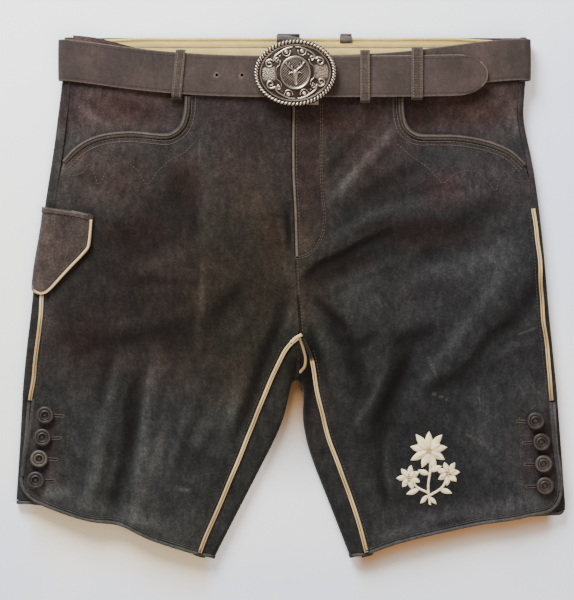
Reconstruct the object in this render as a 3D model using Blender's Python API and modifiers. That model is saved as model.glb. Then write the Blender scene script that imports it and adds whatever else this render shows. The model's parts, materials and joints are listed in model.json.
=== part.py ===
"""Leather shorts (lederhosen) with their belt, laid flat on a table with the front up.

Each cut piece is a wall of leather over one shared form: the back lies on the table, turns up
round the side and inner-leg folds, and meets the front at the seams. All sizes below are in
millimetres, with +X to the right, +Y towards the waist and +Z up from the table.
"""

import math
from collections import namedtuple

import bmesh
import bpy
import numpy as np
from mathutils.bvhtree import BVHTree

MM = 0.001

# Thicknesses and clearances
LEATHER = 1.6
TRIM = 1.4  # piping, welts and loops
LINING = 1.0
GAP = 0.3  # between pieces that are sewn to each other or lie on each other
SEAM_GAP = 0.4
HALF_GAP = SEAM_GAP / 2
HIP_DROP = 2.5  # how far the hip piece lies below the pocket's edge
LAP_DROP = 3.7  # and the back below the front where it runs on under the vent
ON_PANEL = LEATHER / 2 + GAP + 0.05  # from the middle of a panel's wall up to what lies on it

# The space between front and back
DEPTH_BY_LEVEL = ((-260, 13.5), (-80, 13.5), (60, 13.0), (150, 12.5), (195, 10.5), (260, 10.5))
CROWN = 0.25  # share of the depth that is lost beside a fold
CROWN_WIDTH = 48
OUTER_TURN = {"left": 5.5, "right": 3.5}  # how far each side fold reaches inwards
INNER_TURN = 5.0

# The belt and what it does to the waist
BELT_WIDTH = 40
BELT = 3.0
LOOP = 1.5
WAIST_RISE = LOOP + GAP + BELT + GAP
RISE_START, RISE_END = 158, 194

# Legs' hems and vents
VENT_TOP = -103
UNDERLAP = 26
HEM_ROLL = 3.8
HEM_HEIGHT = 3.0

BUCKLE_CENTRE = (4.6, 214.0)
BUCKLE_HALF = (37.5, 30.0)
BUCKLE_RIM = 5.0
BUCKLE_TILT = math.radians(3)
BAR_X, BAR_WIDTH = 21.5, 11.0  # the bar behind the plate, whose lower end shows below the rim
BAR_Y = (183.5, 236.0)

Fold = namedtuple("Fold", "name x0 y0 x1 y1 half_width height")
FOLDS = (
    Fold("left leg, outer ridge", -168, -62, -196, -222, 20, 4.0),
    Fold("left leg, trough", -146, -84, -174, -216, 15, -3.6),
    Fold("left leg, inner ridge", -124, -76, -146, -226, 17, 3.6),
    Fold("left thigh, pull to the crotch", -18, -34, -112, 34, 18, 3.0),
    Fold("left thigh, hollow", -46, -70, -128, -14, 17, -2.6),
    Fold("left hip, ridge below the pocket", -60, 120, -178, 70, 20, 2.2),
    Fold("right thigh, pull to the crotch", 34, -20, 122, 66, 18, 3.0),
    Fold("right thigh, hollow", 60, -58, 150, 8, 17, -2.6),
    Fold("right leg, trough", 84, -70, 86, -226, 16, -3.4),
    Fold("right leg, middle ridge", 124, -56, 118, -226, 20, 3.4),
    Fold("right leg, outer ridge", 196, -30, 214, -208, 18, 2.6),
    Fold("right hip, ridge below the pocket", 56, 124, 170, 84, 20, 2.2),
    Fold("fly, ridge on its right", 36, 172, 66, 70, 12, 1.8),
    Fold("crotch, hollow", 6, -58, 6, -76, 13, -2.4),
)

Point = namedtuple("Point", "x y")


def points(*pairs):
    return tuple(Point(*pair) for pair in pairs)


# Outlines from the waist down to the hem
SIDE_FOLD = {
    "left": points((-219, 254), (-220, 225), (-222, 200), (-226, 172), (-230, 140), (-237, 98),
                   (-242, 60), (-247.5, 28), (-251, -8), (-256, -50), (-260, -92), (-263, -145),
                   (-267, -206)),
    "right": points((229, 254), (228, 225), (227, 196), (225, 176), (230, 150), (237, 118),
                    (241, 84), (246, 44), (250, -8), (255, -58), (259, -98), (263, -150),
                    (267.5, -212)),
}
SIDE_SEAM = {
    "left": points((-211, 254), (-212, 225), (-213.5, 200), (-217, 172), (-221, 140), (-227.5, 98),
                   (-232.5, 60), (-238, 28), (-241.5, -8), (-246.5, -55), (-251.5, -95),
                   (-254.5, -133), (-260, -178), (-264, -206)),
    "right": points((223, 254), (222.5, 225), (221.5, 196), (220, 176), (225, 150), (231.5, 118),
                    (236, 84), (241, 44), (244.5, -8), (249.5, -58), (253.5, -96),
                    (255.5, -130), (258.5, -175), (261, -212)),
}
# The fold inside the legs, from the left hem over the crotch to the right hem
INNER_FOLD = points((-73.5, -253), (-51, -209), (-27, -162.6), (-6.7, -120), (0.3, -97), (0.9, -88),
                    (5.9, -82.6), (11, -88), (11.8, -100), (12, -126), (19.5, -154), (38, -202),
                    (57.5, -252))
CROTCH_FOLD = 6  # the point of INNER_FOLD where the seat seam crosses it
CROTCH = Point(10, -39.5)
CENTRE_FRONT = points((1.5, 197.7), (0.8, 146), (1.2, 114), (3, 83), (4, 46), (6.5, 0), (10, -39.5))
CENTRE_BACK_X = 5.9
INSEAM = {
    "left": points((10, -39.5), (-2.5, -49.5), (-12.4, -68), (-27, -101.5), (-47.5, -153),
                   (-66, -198), (-80.5, -231), (-88, -250)),
    "right": points((10, -39.5), (18.5, -56), (23, -75), (26, -97), (30.5, -114), (35.5, -135),
                    (44, -158), (54.5, -186), (66.5, -222), (74, -249.6)),
}
WAIST_SEAM = {
    "left": points((-213.3, 207), (-170, 203), (-102.8, 199.4), (1.5, 197.7)),
    "right": points((1.5, 197.7), (110, 199.4), (175, 203), (221.8, 207)),
}
WAIST_TOP = {
    "left": points((-211.2, 252), (-186, 249.5), (-157, 241), (-112, 232), (-56, 227.5), (1.5, 226)),
    "right": points((1.5, 226), (60, 227.5), (118, 232), (160, 238), (196, 245), (222.9, 248)),
}
BACK_TOP = 250.0
BACK_SEAM = 207.0
POCKET_EDGE = {  # from the side seam up to the waist seam
    "left": points((-221.9, 131), (-212, 141.5), (-202, 149), (-187, 155.5), (-169, 158.6),
                   (-150, 159.2), (-132, 157.4), (-117, 157.2), (-108.6, 163), (-104, 174),
                   (-102.8, 187), (-102.8, 199.4)),
    "right": points((229, 128), (216, 140), (197.5, 148.5), (178, 153.4), (158, 155.8),
                    (137, 156), (122, 157), (114, 163.4), (110.8, 174), (110, 187), (110, 199.4)),
}
HIP_EDGE = {  # the hip piece's lower edge, hidden below the front
    "left": points((-222.6, 120.6), (-204, 137), (-187, 144.5), (-150, 148), (-117, 146.5),
                   (-101, 153.5), (-93.5, 167)),
    "right": points((230.8, 119.5), (213, 131), (196, 138.5), (158, 145), (121, 146.5),
                    (106.5, 154), (100.5, 167)),
}
FRONT_HEM = {  # from the vent's edge round its corner and along to the inseam
    "left": points((-260.4, -180), (-257.3, -189.2), (-250, -197), (-240, -201.6), (-222, -208.6),
                   (-204, -214.4), (-188, -218.1), (-172, -218.9), (-163, -220.9), (-154, -225.6),
                   (-136, -234.8), (-117, -241.1), (-103, -245.7), (-88, -250)),
    "right": points((258.6, -183), (257.6, -195), (252, -203), (243, -208.2), (228, -213),
                    (203, -217.3), (186, -219.4), (165, -223.7), (145, -228.2), (130, -231.4),
                    (117, -234.7), (103, -238.5), (89, -243.1), (74, -249.6)),
}

# Where the rows of a back panel start at the side, and how they end. drop and lap: whether the
# row lies lower there, and runs on under the front's vent. Of a row that ends on the seat seam,
# seat_y is where. A row past the crotch turns over the inner fold: under and over are how far
# along the fold it does so, turn is the share of the turn that it makes, inseam is how far down
# the inseam it ends, and bow is how far it swings out on its way there.
BackRow = namedtuple("BackRow", "side_y drop lap seat_y under over turn inseam bow", defaults=(0,))
BACK_ROWS = (
    BackRow(206.7, 0, 0, 206.7, 0, 0, 0, None),
    BackRow(188, 0, 0, 187, 0, 0, 0, None),
    BackRow(170, 0, 0, 167, 0, 0, 0, None),
    BackRow(150, 0, 0, 145, 0, 0, 0, None),
    BackRow(128, 0, 0, 120, 0, 0, 0, None),
    BackRow(100, 0, 0, 88, 0, 0, 0, None),
    BackRow(60, 0, 0, 40, 0, 0, 0, None),
    BackRow(20, 0, 0, -6, 0, 0, 0, None),
    BackRow(-8, 0, 0, -42, 0, 0, 0, None),
    BackRow(-24, 0, 0, -64, 0, 0, 0, None),
    BackRow(-33, 0, 0, None, 0, 0, 0, None),
    BackRow(-39, 0, 0, None, 0.014, 0, 0.25, None),
    BackRow(-45, 0, 0, None, 0.027, 0, 0.5, None),
    BackRow(-51, 0, 0, None, 0.040, 0, 0.75, None),
    BackRow(-57, 0, 0, None, 0.055, 0, 1, None),
    BackRow(-63, 0, 0, None, 0.080, 0.025, 1, -0.35, 0.02),
    BackRow(-70, 0, 0, None, 0.115, 0.055, 1, -0.7, 0.06),
    BackRow(-78, 0, 0, None, 0.155, 0.10, 1, 0, 0.12),
    BackRow(-88, 0, 0, None, 0.235, 0.20, 1, 0.16, 0.03),
    BackRow(-97, 0, 0, None, 0.34, 0.32, 1, 0.31),
    BackRow(-103.5, 1, 0, None, 0.42, 0.41, 1, 0.41),
    BackRow(-107, 1, 1, None, 0.5, 0.5, 1, 0.5),
    BackRow(-130, 1, 1, None, 0.64, 0.64, 1, 0.64),
    BackRow(-160, 1, 1, None, 0.79, 0.79, 1, 0.79),
    BackRow(-186, 1, 1, None, 0.91, 0.91, 1, 0.91),
    BackRow(-205, 1, 1, None, 1.0, 1.0, 1, 1.0),
)
BOW_BY_SIDE = {"left": 1.0, "right": -0.45}
HEM_CORNER = {"left": 5.5, "right": -5.3}  # the hem's side corner is this much over the last row
HEM_RISE = {"left": 10.5, "right": 8.5}  # and the hem bows up behind the front's by this much
ARC_STEPS = 6
STRIP_STEPS = 2
UNDERSIDE_STEPS = 6
TAIL_STEPS = 9
TAIL = 34
TURN_DENSITY = 2.4  # the lines are this much closer to each other round the inner fold
CROTCH_SMOOTHING = 4

# The belt's middle line over the front, and the band below its free end on the right
BELT_LINE = points((-214, 227.8), (-190, 224.2), (-169, 221.2), (-136, 217.2), (-86, 213.3),
                   (-50, 212), (4, 211.6), (67, 211.4), (116, 211.8), (163, 212.6), (191, 213.4))
BAND_LINE = points((16, 212), (67, 213), (116, 216.4), (163, 222.4), (200, 227), (220, 228.4))
BELT_BACK_Y = 228.0
BELT_LEFT, BELT_RIGHT = -224.6, 232.4
BELT_TIP = 191.0
BELT_TIP_ROUND = 27.0

# Trims
PIPING_WIDTH = 3.8
SEAT_PIPING = 2.8
SEAT_LIFT = ON_PANEL + 0.5
WELT_WIDTH = 5.4
WELT_TOP = {"left": 193.0, "right": 191.0}
FLY_WIDTH = 28
FLY_BOTTOM = 37
FLY_RISE = 1.3  # the facing below the right front lifts it beside the fly
FLY_EDGE = 2.4

KnifeEdge = namedtuple("KnifeEdge", "round_side y")
# round_side is the distance from the side seam: over the front, or, below zero, round the fold
KNIFE_BOTTOM = (
    KnifeEdge(40.6, 45.4), KnifeEdge(33.6, 35.8), KnifeEdge(26.4, 26.8), KnifeEdge(17, 15.4),
    KnifeEdge(9, 5.6), KnifeEdge(4, 0.8), KnifeEdge(-1.6, -0.9), KnifeEdge(-7.4, 1.8),
    KnifeEdge(-13.2, 9.5),
)
KNIFE_TOP = (KnifeEdge(39.5, 77.5), KnifeEdge(26, 80.5), KnifeEdge(8, 83.5), KnifeEdge(-14, 85.5))
KNIFE_CLEAR = 0.5
KNIFE_HEM = 5.4

BUTTONS = {
    "left": points((-237.8, -116.4), (-240.6, -138.1), (-243.7, -158.6), (-247, -179.6)),
    "right": points((237.4, -122), (243, -142.6), (245, -163.6), (246.6, -185)),
}
BUTTON_PROFILE = (  # radius and height from the middle of the recess over the rim to the shank
    (0, 1.5), (2.0, 1.5), (2.9, 2.7), (4.0, 4.0), (6.9, 4.3), (8.4, 3.5), (8.8, 2.0), (7.4, 0.6),
    (2.6, 0.4), (2.4, -1.2), (0, -1.2),
)

Loop = namedtuple("Loop", "name top_x bottom_x top_y bottom_y width layers")
FRONT_LOOPS = (
    Loop("belt_loop_left", -106.2, -110.6, 236.6, 191.0, 9.5, 1),
    Loop("belt_loop_right", 122.4, 122.2, 239.0, 190.3, 11.0, 2),
    Loop("belt_keeper", 72.0, 72.0, 236.2, 187.6, 9.5, 2),
)
BACK_LOOPS = (("belt_loop_back_left", -2.0, 22.0), ("belt_loop_back_right", 54.0, 11.0))

PLATE_RINGS = ((0.90, 0.0), (0.90, 1.4), (0.80, 2.5), (0.55, 3.2), (0.28, 3.5))
MEDALLION_HALF = (13.5, 15.5)
SCROLL_TURNS = 1.15
SCROLL = 1.6
STAG_HALF = (  # the right half of a stag's head from the muzzle up, with its antler
    (0, -10.5), (1.6, -9.8), (2.0, -7.6), (1.7, -4.6), (2.6, -2.0), (5.4, -0.6), (2.9, 0.4),
    (2.2, 1.6), (4.4, 3.6), (6.6, 4.2), (5.6, 5.2), (6.9, 7.4), (8.7, 7.2), (7.6, 8.8),
    (7.9, 11.2), (6.5, 9.2), (5.2, 11.4), (5.3, 8.4), (3.6, 5.6), (1.4, 3.2), (0, 2.8),
)

MATERIALS = {  # base colour, roughness, metallic
    "suede": ((0.075, 0.062, 0.055), 0.9, 0.0),
    "belt_leather": ((0.105, 0.082, 0.075), 0.85, 0.0),
    "cream_leather": ((0.56, 0.45, 0.31), 0.75, 0.0),
    "trim_leather": ((0.14, 0.105, 0.085), 0.8, 0.0),
    "lining_cloth": ((0.66, 0.58, 0.40), 0.95, 0.0),
    "horn": ((0.050, 0.036, 0.032), 0.45, 0.0),
    "old_silver": ((0.42, 0.38, 0.34), 0.38, 1.0),
}


# ---------------------------------------------------------------- curves in the plane


def smooth(table, per_span=16):
    """A smooth line through the points of a table, as closely spaced points."""
    p = np.array(table, float)
    chord = np.concatenate([[0], np.cumsum(np.linalg.norm(np.diff(p, axis=0), axis=1))])
    slope = np.gradient(p, chord, axis=0)
    out = []
    for i in range(len(p) - 1):
        t = np.linspace(0, 1, per_span, endpoint=False)[:, None]
        span = chord[i + 1] - chord[i]
        out.append(
            (1 + 2 * t) * (1 - t) ** 2 * p[i]
            + t * (1 - t) ** 2 * span * slope[i]
            + t * t * (3 - 2 * t) * p[i + 1]
            + t * t * (t - 1) * span * slope[i + 1]
        )
    return np.concatenate([*out, p[-1:]])


def length_along(line):
    return np.concatenate([[0], np.cumsum(np.linalg.norm(np.diff(line, axis=0), axis=1))])


def spaced(line, shares):
    """The points at these shares of a line's length, from 0 to 1."""
    along = length_along(line)
    at = np.asarray(shares, float) * along[-1]
    return np.stack([np.interp(at, along, line[:, k]) for k in range(line.shape[1])], axis=-1)


def even(line, count):
    return spaced(line, np.linspace(0, 1, count))


def x_at(line, y):
    """Where a line that runs down from the waist is at a level."""
    return np.interp(y, line[::-1, 1], line[::-1, 0])


def shifted(line, by):
    """The line moved to its left side by a distance."""
    tangent = np.gradient(line, axis=0)
    tangent /= np.linalg.norm(tangent, axis=1)[:, None]
    return line + by * np.stack([-tangent[:, 1], tangent[:, 0]], axis=1)


def cut(line, low, high):
    """The stretch of a line between two levels."""
    return line[(line[:, 1] >= low) & (line[:, 1] <= high)]


SIDE_LINE = {side: smooth(SIDE_FOLD[side]) for side in SIDE_FOLD}
SEAM_LINE = {side: smooth(SIDE_SEAM[side]) for side in SIDE_SEAM}
INNER_LINE = smooth(INNER_FOLD)
CROTCH_INDEX = CROTCH_FOLD * 16
LEG_FOLD = {"left": INNER_LINE[CROTCH_INDEX::-1], "right": INNER_LINE[CROTCH_INDEX:]}
INSEAM_LINE = {side: smooth(INSEAM[side]) for side in INSEAM}
ALL_FOLDS = np.concatenate([SIDE_LINE["left"], SIDE_LINE["right"], INNER_LINE])


# ---------------------------------------------------------------- the form that all pieces share


def eased(x, low, high):
    t = np.clip((np.asarray(x, float) - low) / (high - low), 0, 1)
    return t * t * (3 - 2 * t)


def back_z(y):
    """The middle of the back's wall, where it lies on the table or on the belt."""
    return LEATHER / 2 + WAIST_RISE * eased(y, RISE_START, RISE_END)


def fold_height(x, y):
    """What the ridges and troughs add to the front's height."""
    total = np.zeros(np.broadcast(x, y).shape)
    for fold in FOLDS:
        along = np.array([fold.x1 - fold.x0, fold.y1 - fold.y0], float)
        share = ((x - fold.x0) * along[0] + (y - fold.y0) * along[1]) / (along @ along)
        share = np.clip(share, 0, 1)
        away = np.hypot(x - fold.x0 - share * along[0], y - fold.y0 - share * along[1])
        profile = np.clip(1 - (away / fold.half_width) ** 2, 0, 1) ** 2
        total += fold.height * profile * (0.45 + 0.55 * np.sin(np.pi * share))
    return total


def front_z(x, y):
    """The middle of the front's wall."""
    x, y = np.broadcast_arrays(np.asarray(x, float), np.asarray(y, float))
    flat = np.stack([x.ravel(), y.ravel()], axis=1)
    away = np.array([np.hypot(*(ALL_FOLDS - p).T).min() for p in flat]).reshape(x.shape)
    levels, depths = zip(*DEPTH_BY_LEVEL)
    inside = eased(away, 0, CROWN_WIDTH)
    depth = np.interp(y, levels, depths) * (1 - CROWN * (1 - inside))
    return back_z(y) + depth + fold_height(x, y) * eased(away, 4, 34)


def turn_points(edge, inward, reach, y_for_back, shares, drop=0.0):
    """Points round a fold, from the underside (share 0) to the top (share 1)."""
    tangent_point = edge + inward * reach
    top = front_z(tangent_point[0], tangent_point[1]) - drop
    low = back_z(y_for_back)
    angle = np.pi * (np.asarray(shares) - 0.5)
    middle, half = (top + low) / 2, (top - low) / 2
    flat = edge + np.outer(reach * (1 - np.cos(angle)), inward)
    return np.column_stack([flat, middle + half * np.sin(angle)])


def on_front(line, lift=0.0):
    """A line in the plane, laid on the front."""
    line = np.asarray(line, float)
    return np.column_stack([line, front_z(line[:, 0], line[:, 1]) + lift])


SURFACES = []


def surface_height(x, y):
    """The top face of whatever cut piece is uppermost at a place."""
    best = -1.0
    for tree in SURFACES:
        hit = tree.ray_cast((x, y, 100.0), (0, 0, -1))
        if hit[0] is not None:
            best = max(best, hit[0].z)
    return best if best > 0 else float(front_z(x, y))


def lying(line, width=0.0, lift=0.0):
    """A line laid on the pieces below it so that a band of this width clears them everywhere."""
    line = np.asarray(line, float)
    side = shifted(line, width / 2) - line
    z = np.array([max(surface_height(*(p + k * d)) for k in (-1, 0, 1))
                  for p, d in zip(line, side)])
    share = np.linspace(0, 1, 7)
    for _ in range(6):
        for i in range(len(line) - 1):
            between = line[i] + share[:, None] * (line[i + 1] - line[i])
            below = max(
                surface_height(*(p + k * side[i])) - (1 - t) * z[i] - t * z[i + 1]
                for t, p in zip(share, between) for k in (-1, 0, 1)
            )
            if below > 0:
                z[i:i + 2] += below
    return np.column_stack([line, z + lift])


# ---------------------------------------------------------------- meshes


def material(name):
    found = bpy.data.materials.get(name)
    if found:
        return found
    colour, roughness, metallic = MATERIALS[name]
    made = bpy.data.materials.new(name)
    made.use_nodes = True
    shader = made.node_tree.nodes["Principled BSDF"]
    shader.inputs["Base Color"].default_value = (*colour, 1)
    shader.inputs["Roughness"].default_value = roughness
    shader.inputs["Metallic"].default_value = metallic
    made.diffuse_color = (*colour, 1)
    return made


def add_object(name, data, material_name):
    obj = bpy.data.objects.new(name, data)
    data.materials.append(material(material_name))
    GARMENT.objects.link(obj)
    obj.parent = LAYOUT
    return obj


def grid_mesh(name, grid):
    """An open surface through rows of points, in millimetres."""
    rows, columns = grid.shape[:2]
    index = np.arange(rows * columns).reshape(rows, columns)
    faces = np.stack([index[:-1, :-1], index[1:, :-1], index[1:, 1:], index[:-1, 1:]], axis=-1)
    mesh = bpy.data.meshes.new(name)
    mesh.from_pydata((grid.reshape(-1, 3) * MM).tolist(), [], faces.reshape(-1, 4).tolist())
    mesh.shade_smooth()
    return mesh


def covers(grid):
    """Notes a piece's surface, so that what lies on the piece can be made from it."""
    rows, columns = grid.shape[:2]
    index = np.arange(rows * columns).reshape(rows, columns)
    faces = np.stack([index[:-1, :-1], index[1:, :-1], index[1:, 1:], index[:-1, 1:]], axis=-1)
    SURFACES.append(
        BVHTree.FromPolygons(grid.reshape(-1, 3).tolist(), faces.reshape(-1, 4).tolist())
    )


def leather(name, grid, thickness=LEATHER, material_name="suede"):
    """A wall of leather with the grid as the middle of its thickness."""
    covers(grid)
    obj = add_object(name, grid_mesh(name, grid), material_name)
    wall = obj.modifiers.new("wall", "SOLIDIFY")
    wall.thickness = thickness * MM
    wall.offset = 0
    return obj


def loft(name, rings, material_name):
    """A closed solid through rings of points, capped at both ends."""
    count, around = rings.shape[:2]
    index = np.arange(count * around).reshape(count, around)
    behind, ahead = index[:-1], index[1:]
    sides = np.stack(
        [behind, np.roll(behind, -1, axis=1), np.roll(ahead, -1, axis=1), ahead], axis=-1
    )
    faces = [*sides.reshape(-1, 4).tolist(), index[0][::-1].tolist(), index[-1].tolist()]
    mesh = bpy.data.meshes.new(name)
    mesh.from_pydata((rings.reshape(-1, 3) * MM).tolist(), [], faces)
    form = bmesh.new()
    form.from_mesh(mesh)
    bmesh.ops.recalc_face_normals(form, faces=form.faces)
    form.to_mesh(mesh)
    form.free()
    mesh.shade_smooth()
    mesh.set_sharp_from_angle(angle=math.radians(50))
    return add_object(name, mesh, material_name)


def patch(top, bottom, left, right):
    """A surface in the plane between four lines: rows run from top to bottom."""
    across = np.linspace(0, 1, len(top))[None, :, None]
    down = np.linspace(0, 1, len(left))[:, None, None]
    corners = (
        (1 - across) * (1 - down) * top[0]
        + across * (1 - down) * top[-1]
        + (1 - across) * down * bottom[0]
        + across * down * bottom[-1]
    )
    edges = (1 - down) * top[None] + down * bottom[None] + (1 - across) * left[:, None]
    return edges + across * right[:, None] - corners


def raised(flat, lift=0.0):
    """A surface in the plane, laid on the front."""
    return np.concatenate([flat, (front_z(flat[..., 0], flat[..., 1]) + lift)[..., None]], axis=-1)


STRIP_SECTION = ((-0.5, 0), (-0.5, 0.5), (-0.28, 0.92), (0, 1), (0.28, 0.92), (0.5, 0.5), (0.5, 0))


def strip(name, line, width, thickness, material_name, lift=ON_PANEL):
    """A band with a rounded top, laid on the pieces below it along a line."""
    sideways = shifted(line, 1.0) - line
    laid = lying(line, width, lift)
    rings = [
        laid + np.column_stack([across * width * sideways, np.full(len(line), up * thickness)])
        for across, up in STRIP_SECTION
    ]
    return loft(name, np.stack(rings, axis=1), material_name)


def tube(name, path, sideways, diameter, height, material_name, sides=6):
    """A rolled edge: an oval section along a path in space."""
    tangent = np.gradient(path, axis=0)
    tangent /= np.linalg.norm(tangent, axis=1)[:, None]
    up = np.cross(tangent, sideways)
    up /= np.linalg.norm(up, axis=1)[:, None]
    sideways = np.cross(up, tangent)
    angle = 2 * np.pi * (np.arange(sides) + 0.5) / sides
    rings = (
        path[:, None]
        + np.cos(angle)[None, :, None] * diameter / 2 * sideways[:, None]
        + np.sin(angle)[None, :, None] * height / 2 * up[:, None]
    )
    return loft(name, rings, material_name)


# ---------------------------------------------------------------- the cut pieces


def sewn_levels():
    """The levels at which both the front and the back have points on the side seam."""
    top = POCKET_EDGE["right"][0].y
    return [row.side_y for row in BACK_ROWS if row.side_y < top - 4 and row.lap == 0]


# The shares of the pocket's edge at which the front has a point: closer together at its corner
POCKET_SHARES = (0, 0.14, 0.28, 0.42, 0.55, 0.66, 0.75, 0.83, 0.91, 1)
FAN = 2  # the row down to which the lines spread out from that corner


def front_panel(side):
    """The front of one leg, from the pocket's edge and the waist seam down to the hem."""
    outwards = -1 if side == "left" else 1
    pocket = spaced(smooth(POCKET_EDGE[side]), POCKET_SHARES)
    waist = smooth(WAIST_SEAM[side])
    if side == "right":
        waist = waist[::-1]
    waist = even(waist[outwards * (waist[:, 0] - pocket[-1, 0]) <= 0], 7)
    top = np.concatenate([pocket, waist[1:]]) + [0, -HALF_GAP]
    levels = sewn_levels()
    vent = np.linspace(levels[-1], FRONT_HEM[side][0].y, 6)[1:]
    outer_y = np.concatenate([[POCKET_EDGE[side][0].y - HALF_GAP], levels, vent])
    outer = np.stack([x_at(SEAM_LINE[side], outer_y), outer_y], axis=1)
    outer[:, 0] -= outwards * HALF_GAP
    shares = [row.inseam for row in BACK_ROWS if row.inseam is not None and row.inseam >= 0]
    inseam = spaced(INSEAM_LINE[side], shares)
    centre = even(smooth(CENTRE_FRONT), len(outer_y) - len(inseam) + 1)
    inner = np.concatenate([centre[:-1], inseam]) + [outwards * HALF_GAP, 0]
    bottom = even(smooth(FRONT_HEM[side]), len(top))
    top[-1] = inner[0] = (inner[0, 0], top[-1, 1])
    bottom[0], bottom[-1] = outer[-1], inner[-1]
    top[0] = outer[0]
    guide = even(np.array([outer[FAN], inner[FAN]]), len(top))
    upper = patch(top, guide, outer[:FAN + 1], inner[:FAN + 1])
    lower = patch(guide, bottom, outer[FAN:], inner[FAN:])
    flat = np.concatenate([upper[:-1], lower])
    grid = raised(flat)
    if side == "right":
        grid[..., 2] += fly_rise(flat[..., 0], flat[..., 1])
    return leather(f"front_{side}", grid)


def fly_rise(x, y):
    """The facing below the right front lifts it beside the fly."""
    centre = x_at(smooth(CENTRE_FRONT), y)
    return FLY_RISE * (1 - eased(x - centre, FLY_WIDTH - 6, FLY_WIDTH + 6)) * eased(
        y, FLY_BOTTOM - 16, FLY_BOTTOM + 10
    )


def side_turn(side, y, lap=0, drop=0.0):
    """Points from the side seam out to the side fold and round it to the underside."""
    inward = np.array([1.0 if side == "left" else -1.0, 0.0])
    edge = np.array([x_at(SIDE_LINE[side], y), y])
    reach = OUTER_TURN[side]
    seam_x = x_at(SEAM_LINE[side], y) - inward[0] * HALF_GAP + lap * inward[0] * UNDERLAP
    start = np.array([seam_x, y])
    tangent_point = edge + inward * reach
    strip_flat = start + np.outer(np.arange(STRIP_STEPS) / STRIP_STEPS, tangent_point - start)
    strip_part = on_front(strip_flat, -drop)
    arc = turn_points(edge, inward, reach, y, np.linspace(1, 0, ARC_STEPS + 1), drop)
    return np.concatenate([strip_part, arc])


def inner_end(side, row):
    """The end of a back row past its straight stretch: over the inner fold to seat seam or inseam."""
    away = -HALF_GAP if side == "left" else HALF_GAP
    crotch_away = away * 3
    if row.seat_y is not None:
        return np.array([[CENTRE_BACK_X + away, row.seat_y, back_z(row.seat_y)]])
    fold = LEG_FOLD[side]
    turned = 1 if side == "left" else -1
    tangents = np.gradient(fold, axis=0)
    tangents /= np.linalg.norm(tangents, axis=1)[:, None]
    normals = turned * np.stack([tangents[:, 1], -tangents[:, 0]], axis=1)
    normals[0] = (0, 1)
    shares = np.linspace(0, row.turn, 9)
    along = row.under + (row.over - row.under) * np.linspace(0, 1, 9)
    edges, inwards = spaced(fold, along), np.empty((9, 2))
    lengths = length_along(fold) / length_along(fold)[-1]
    for k in range(2):
        inwards[:, k] = np.interp(along, lengths, normals[:, k])
    inwards /= np.linalg.norm(inwards, axis=1)[:, None]
    turned_part = np.concatenate(
        [
            turn_points(edge, inward, INNER_TURN, edge[1] + inward[1] * INNER_TURN, [share])
            for edge, inward, share in zip(edges, inwards, shares)
        ]
    )
    if row.over == 0:
        turned_part[-1, 0] = CENTRE_BACK_X + crotch_away
    if row.inseam is None:
        return turned_part
    crotch = np.array(CROTCH)
    bridge = np.array(INNER_FOLD[CROTCH_FOLD]) + [0, INNER_TURN]
    if row.inseam < 0:  # on the seat seam, this share of the way up to the crotch
        end = bridge - row.inseam * (crotch - bridge) + [crotch_away, 0]
    elif row.inseam == 0:  # in the corner between the seat seam and the inseam
        ways = [INSEAM_LINE[side][8] - crotch, bridge - crotch]
        middle = sum(way / np.linalg.norm(way) for way in ways)
        end = crotch + 1.8 * middle / np.linalg.norm(middle)
    else:
        end = spaced(INSEAM_LINE[side], row.inseam) + [-away, 0]
    way = end - turned_part[-1, :2]
    share = np.linspace(0, 1, 9)[1:]
    swing = row.bow * BOW_BY_SIDE[side] * np.array([-way[1], way[0]])
    flat = turned_part[-1, :2] + np.outer(share, way) + np.outer(4 * share * (1 - share), swing)
    return np.concatenate([turned_part, on_front(flat)])


def back_row(side, row):
    hem = row is BACK_ROWS[-1]
    side_y = row.side_y + hem * HEM_CORNER[side]
    outer = side_turn(side, side_y, row.lap, LAP_DROP * row.drop)
    end = inner_end(side, row)
    start = outer[-1]
    share = np.linspace(0, 1, 30)[1:-1]
    straight = start + np.outer(share, end[0] - start)
    straight[:, 1] += hem * HEM_RISE[side] * 4 * share * (1 - share)
    straight[:, 2] = back_z(straight[:, 1])
    rest = np.concatenate([start[None], straight, end])
    step = np.linalg.norm(np.diff(rest, axis=0), axis=1)
    first_turned = 1 + len(straight)
    step[first_turned:first_turned + 8] *= TURN_DENSITY
    cost = np.concatenate([[0], np.cumsum(step)])
    tail = max(TAIL, cost[-1] - cost[min(first_turned, len(cost) - 1)] + 5)
    to_tail = np.linspace(0, cost[-1] - tail, UNDERSIDE_STEPS + 1)[1:]
    in_tail = cost[-1] - tail * (1 - np.arange(1, TAIL_STEPS + 1) / TAIL_STEPS)
    at = np.concatenate([to_tail, in_tail])
    points_on = np.stack([np.interp(at, cost, rest[:, k]) for k in range(3)], axis=1)
    return np.concatenate([outer, points_on])


def back_panel(side):
    """The back of one leg: it turns up round both folds to meet the front."""
    grid = np.stack([back_row(side, row) for row in BACK_ROWS])
    crotch_rows = [i for i, row in enumerate(BACK_ROWS) if row.seat_y is None and row.under < 0.2]
    near = (slice(crotch_rows[0], crotch_rows[-1] + 1), slice(-TAIL_STEPS, -1))
    for _ in range(CROTCH_SMOOTHING):
        ahead, behind = np.roll(grid, -1, axis=0), np.roll(grid, 1, axis=0)
        left, right = np.roll(grid, -1, axis=1), np.roll(grid, 1, axis=1)
        grid[near] = ((ahead + behind + left + right) / 8 + grid / 2)[near]
    grid[..., 2] = np.maximum(grid[..., 2], LEATHER / 2)
    leather(f"back_{side}", grid)
    return grid


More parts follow.
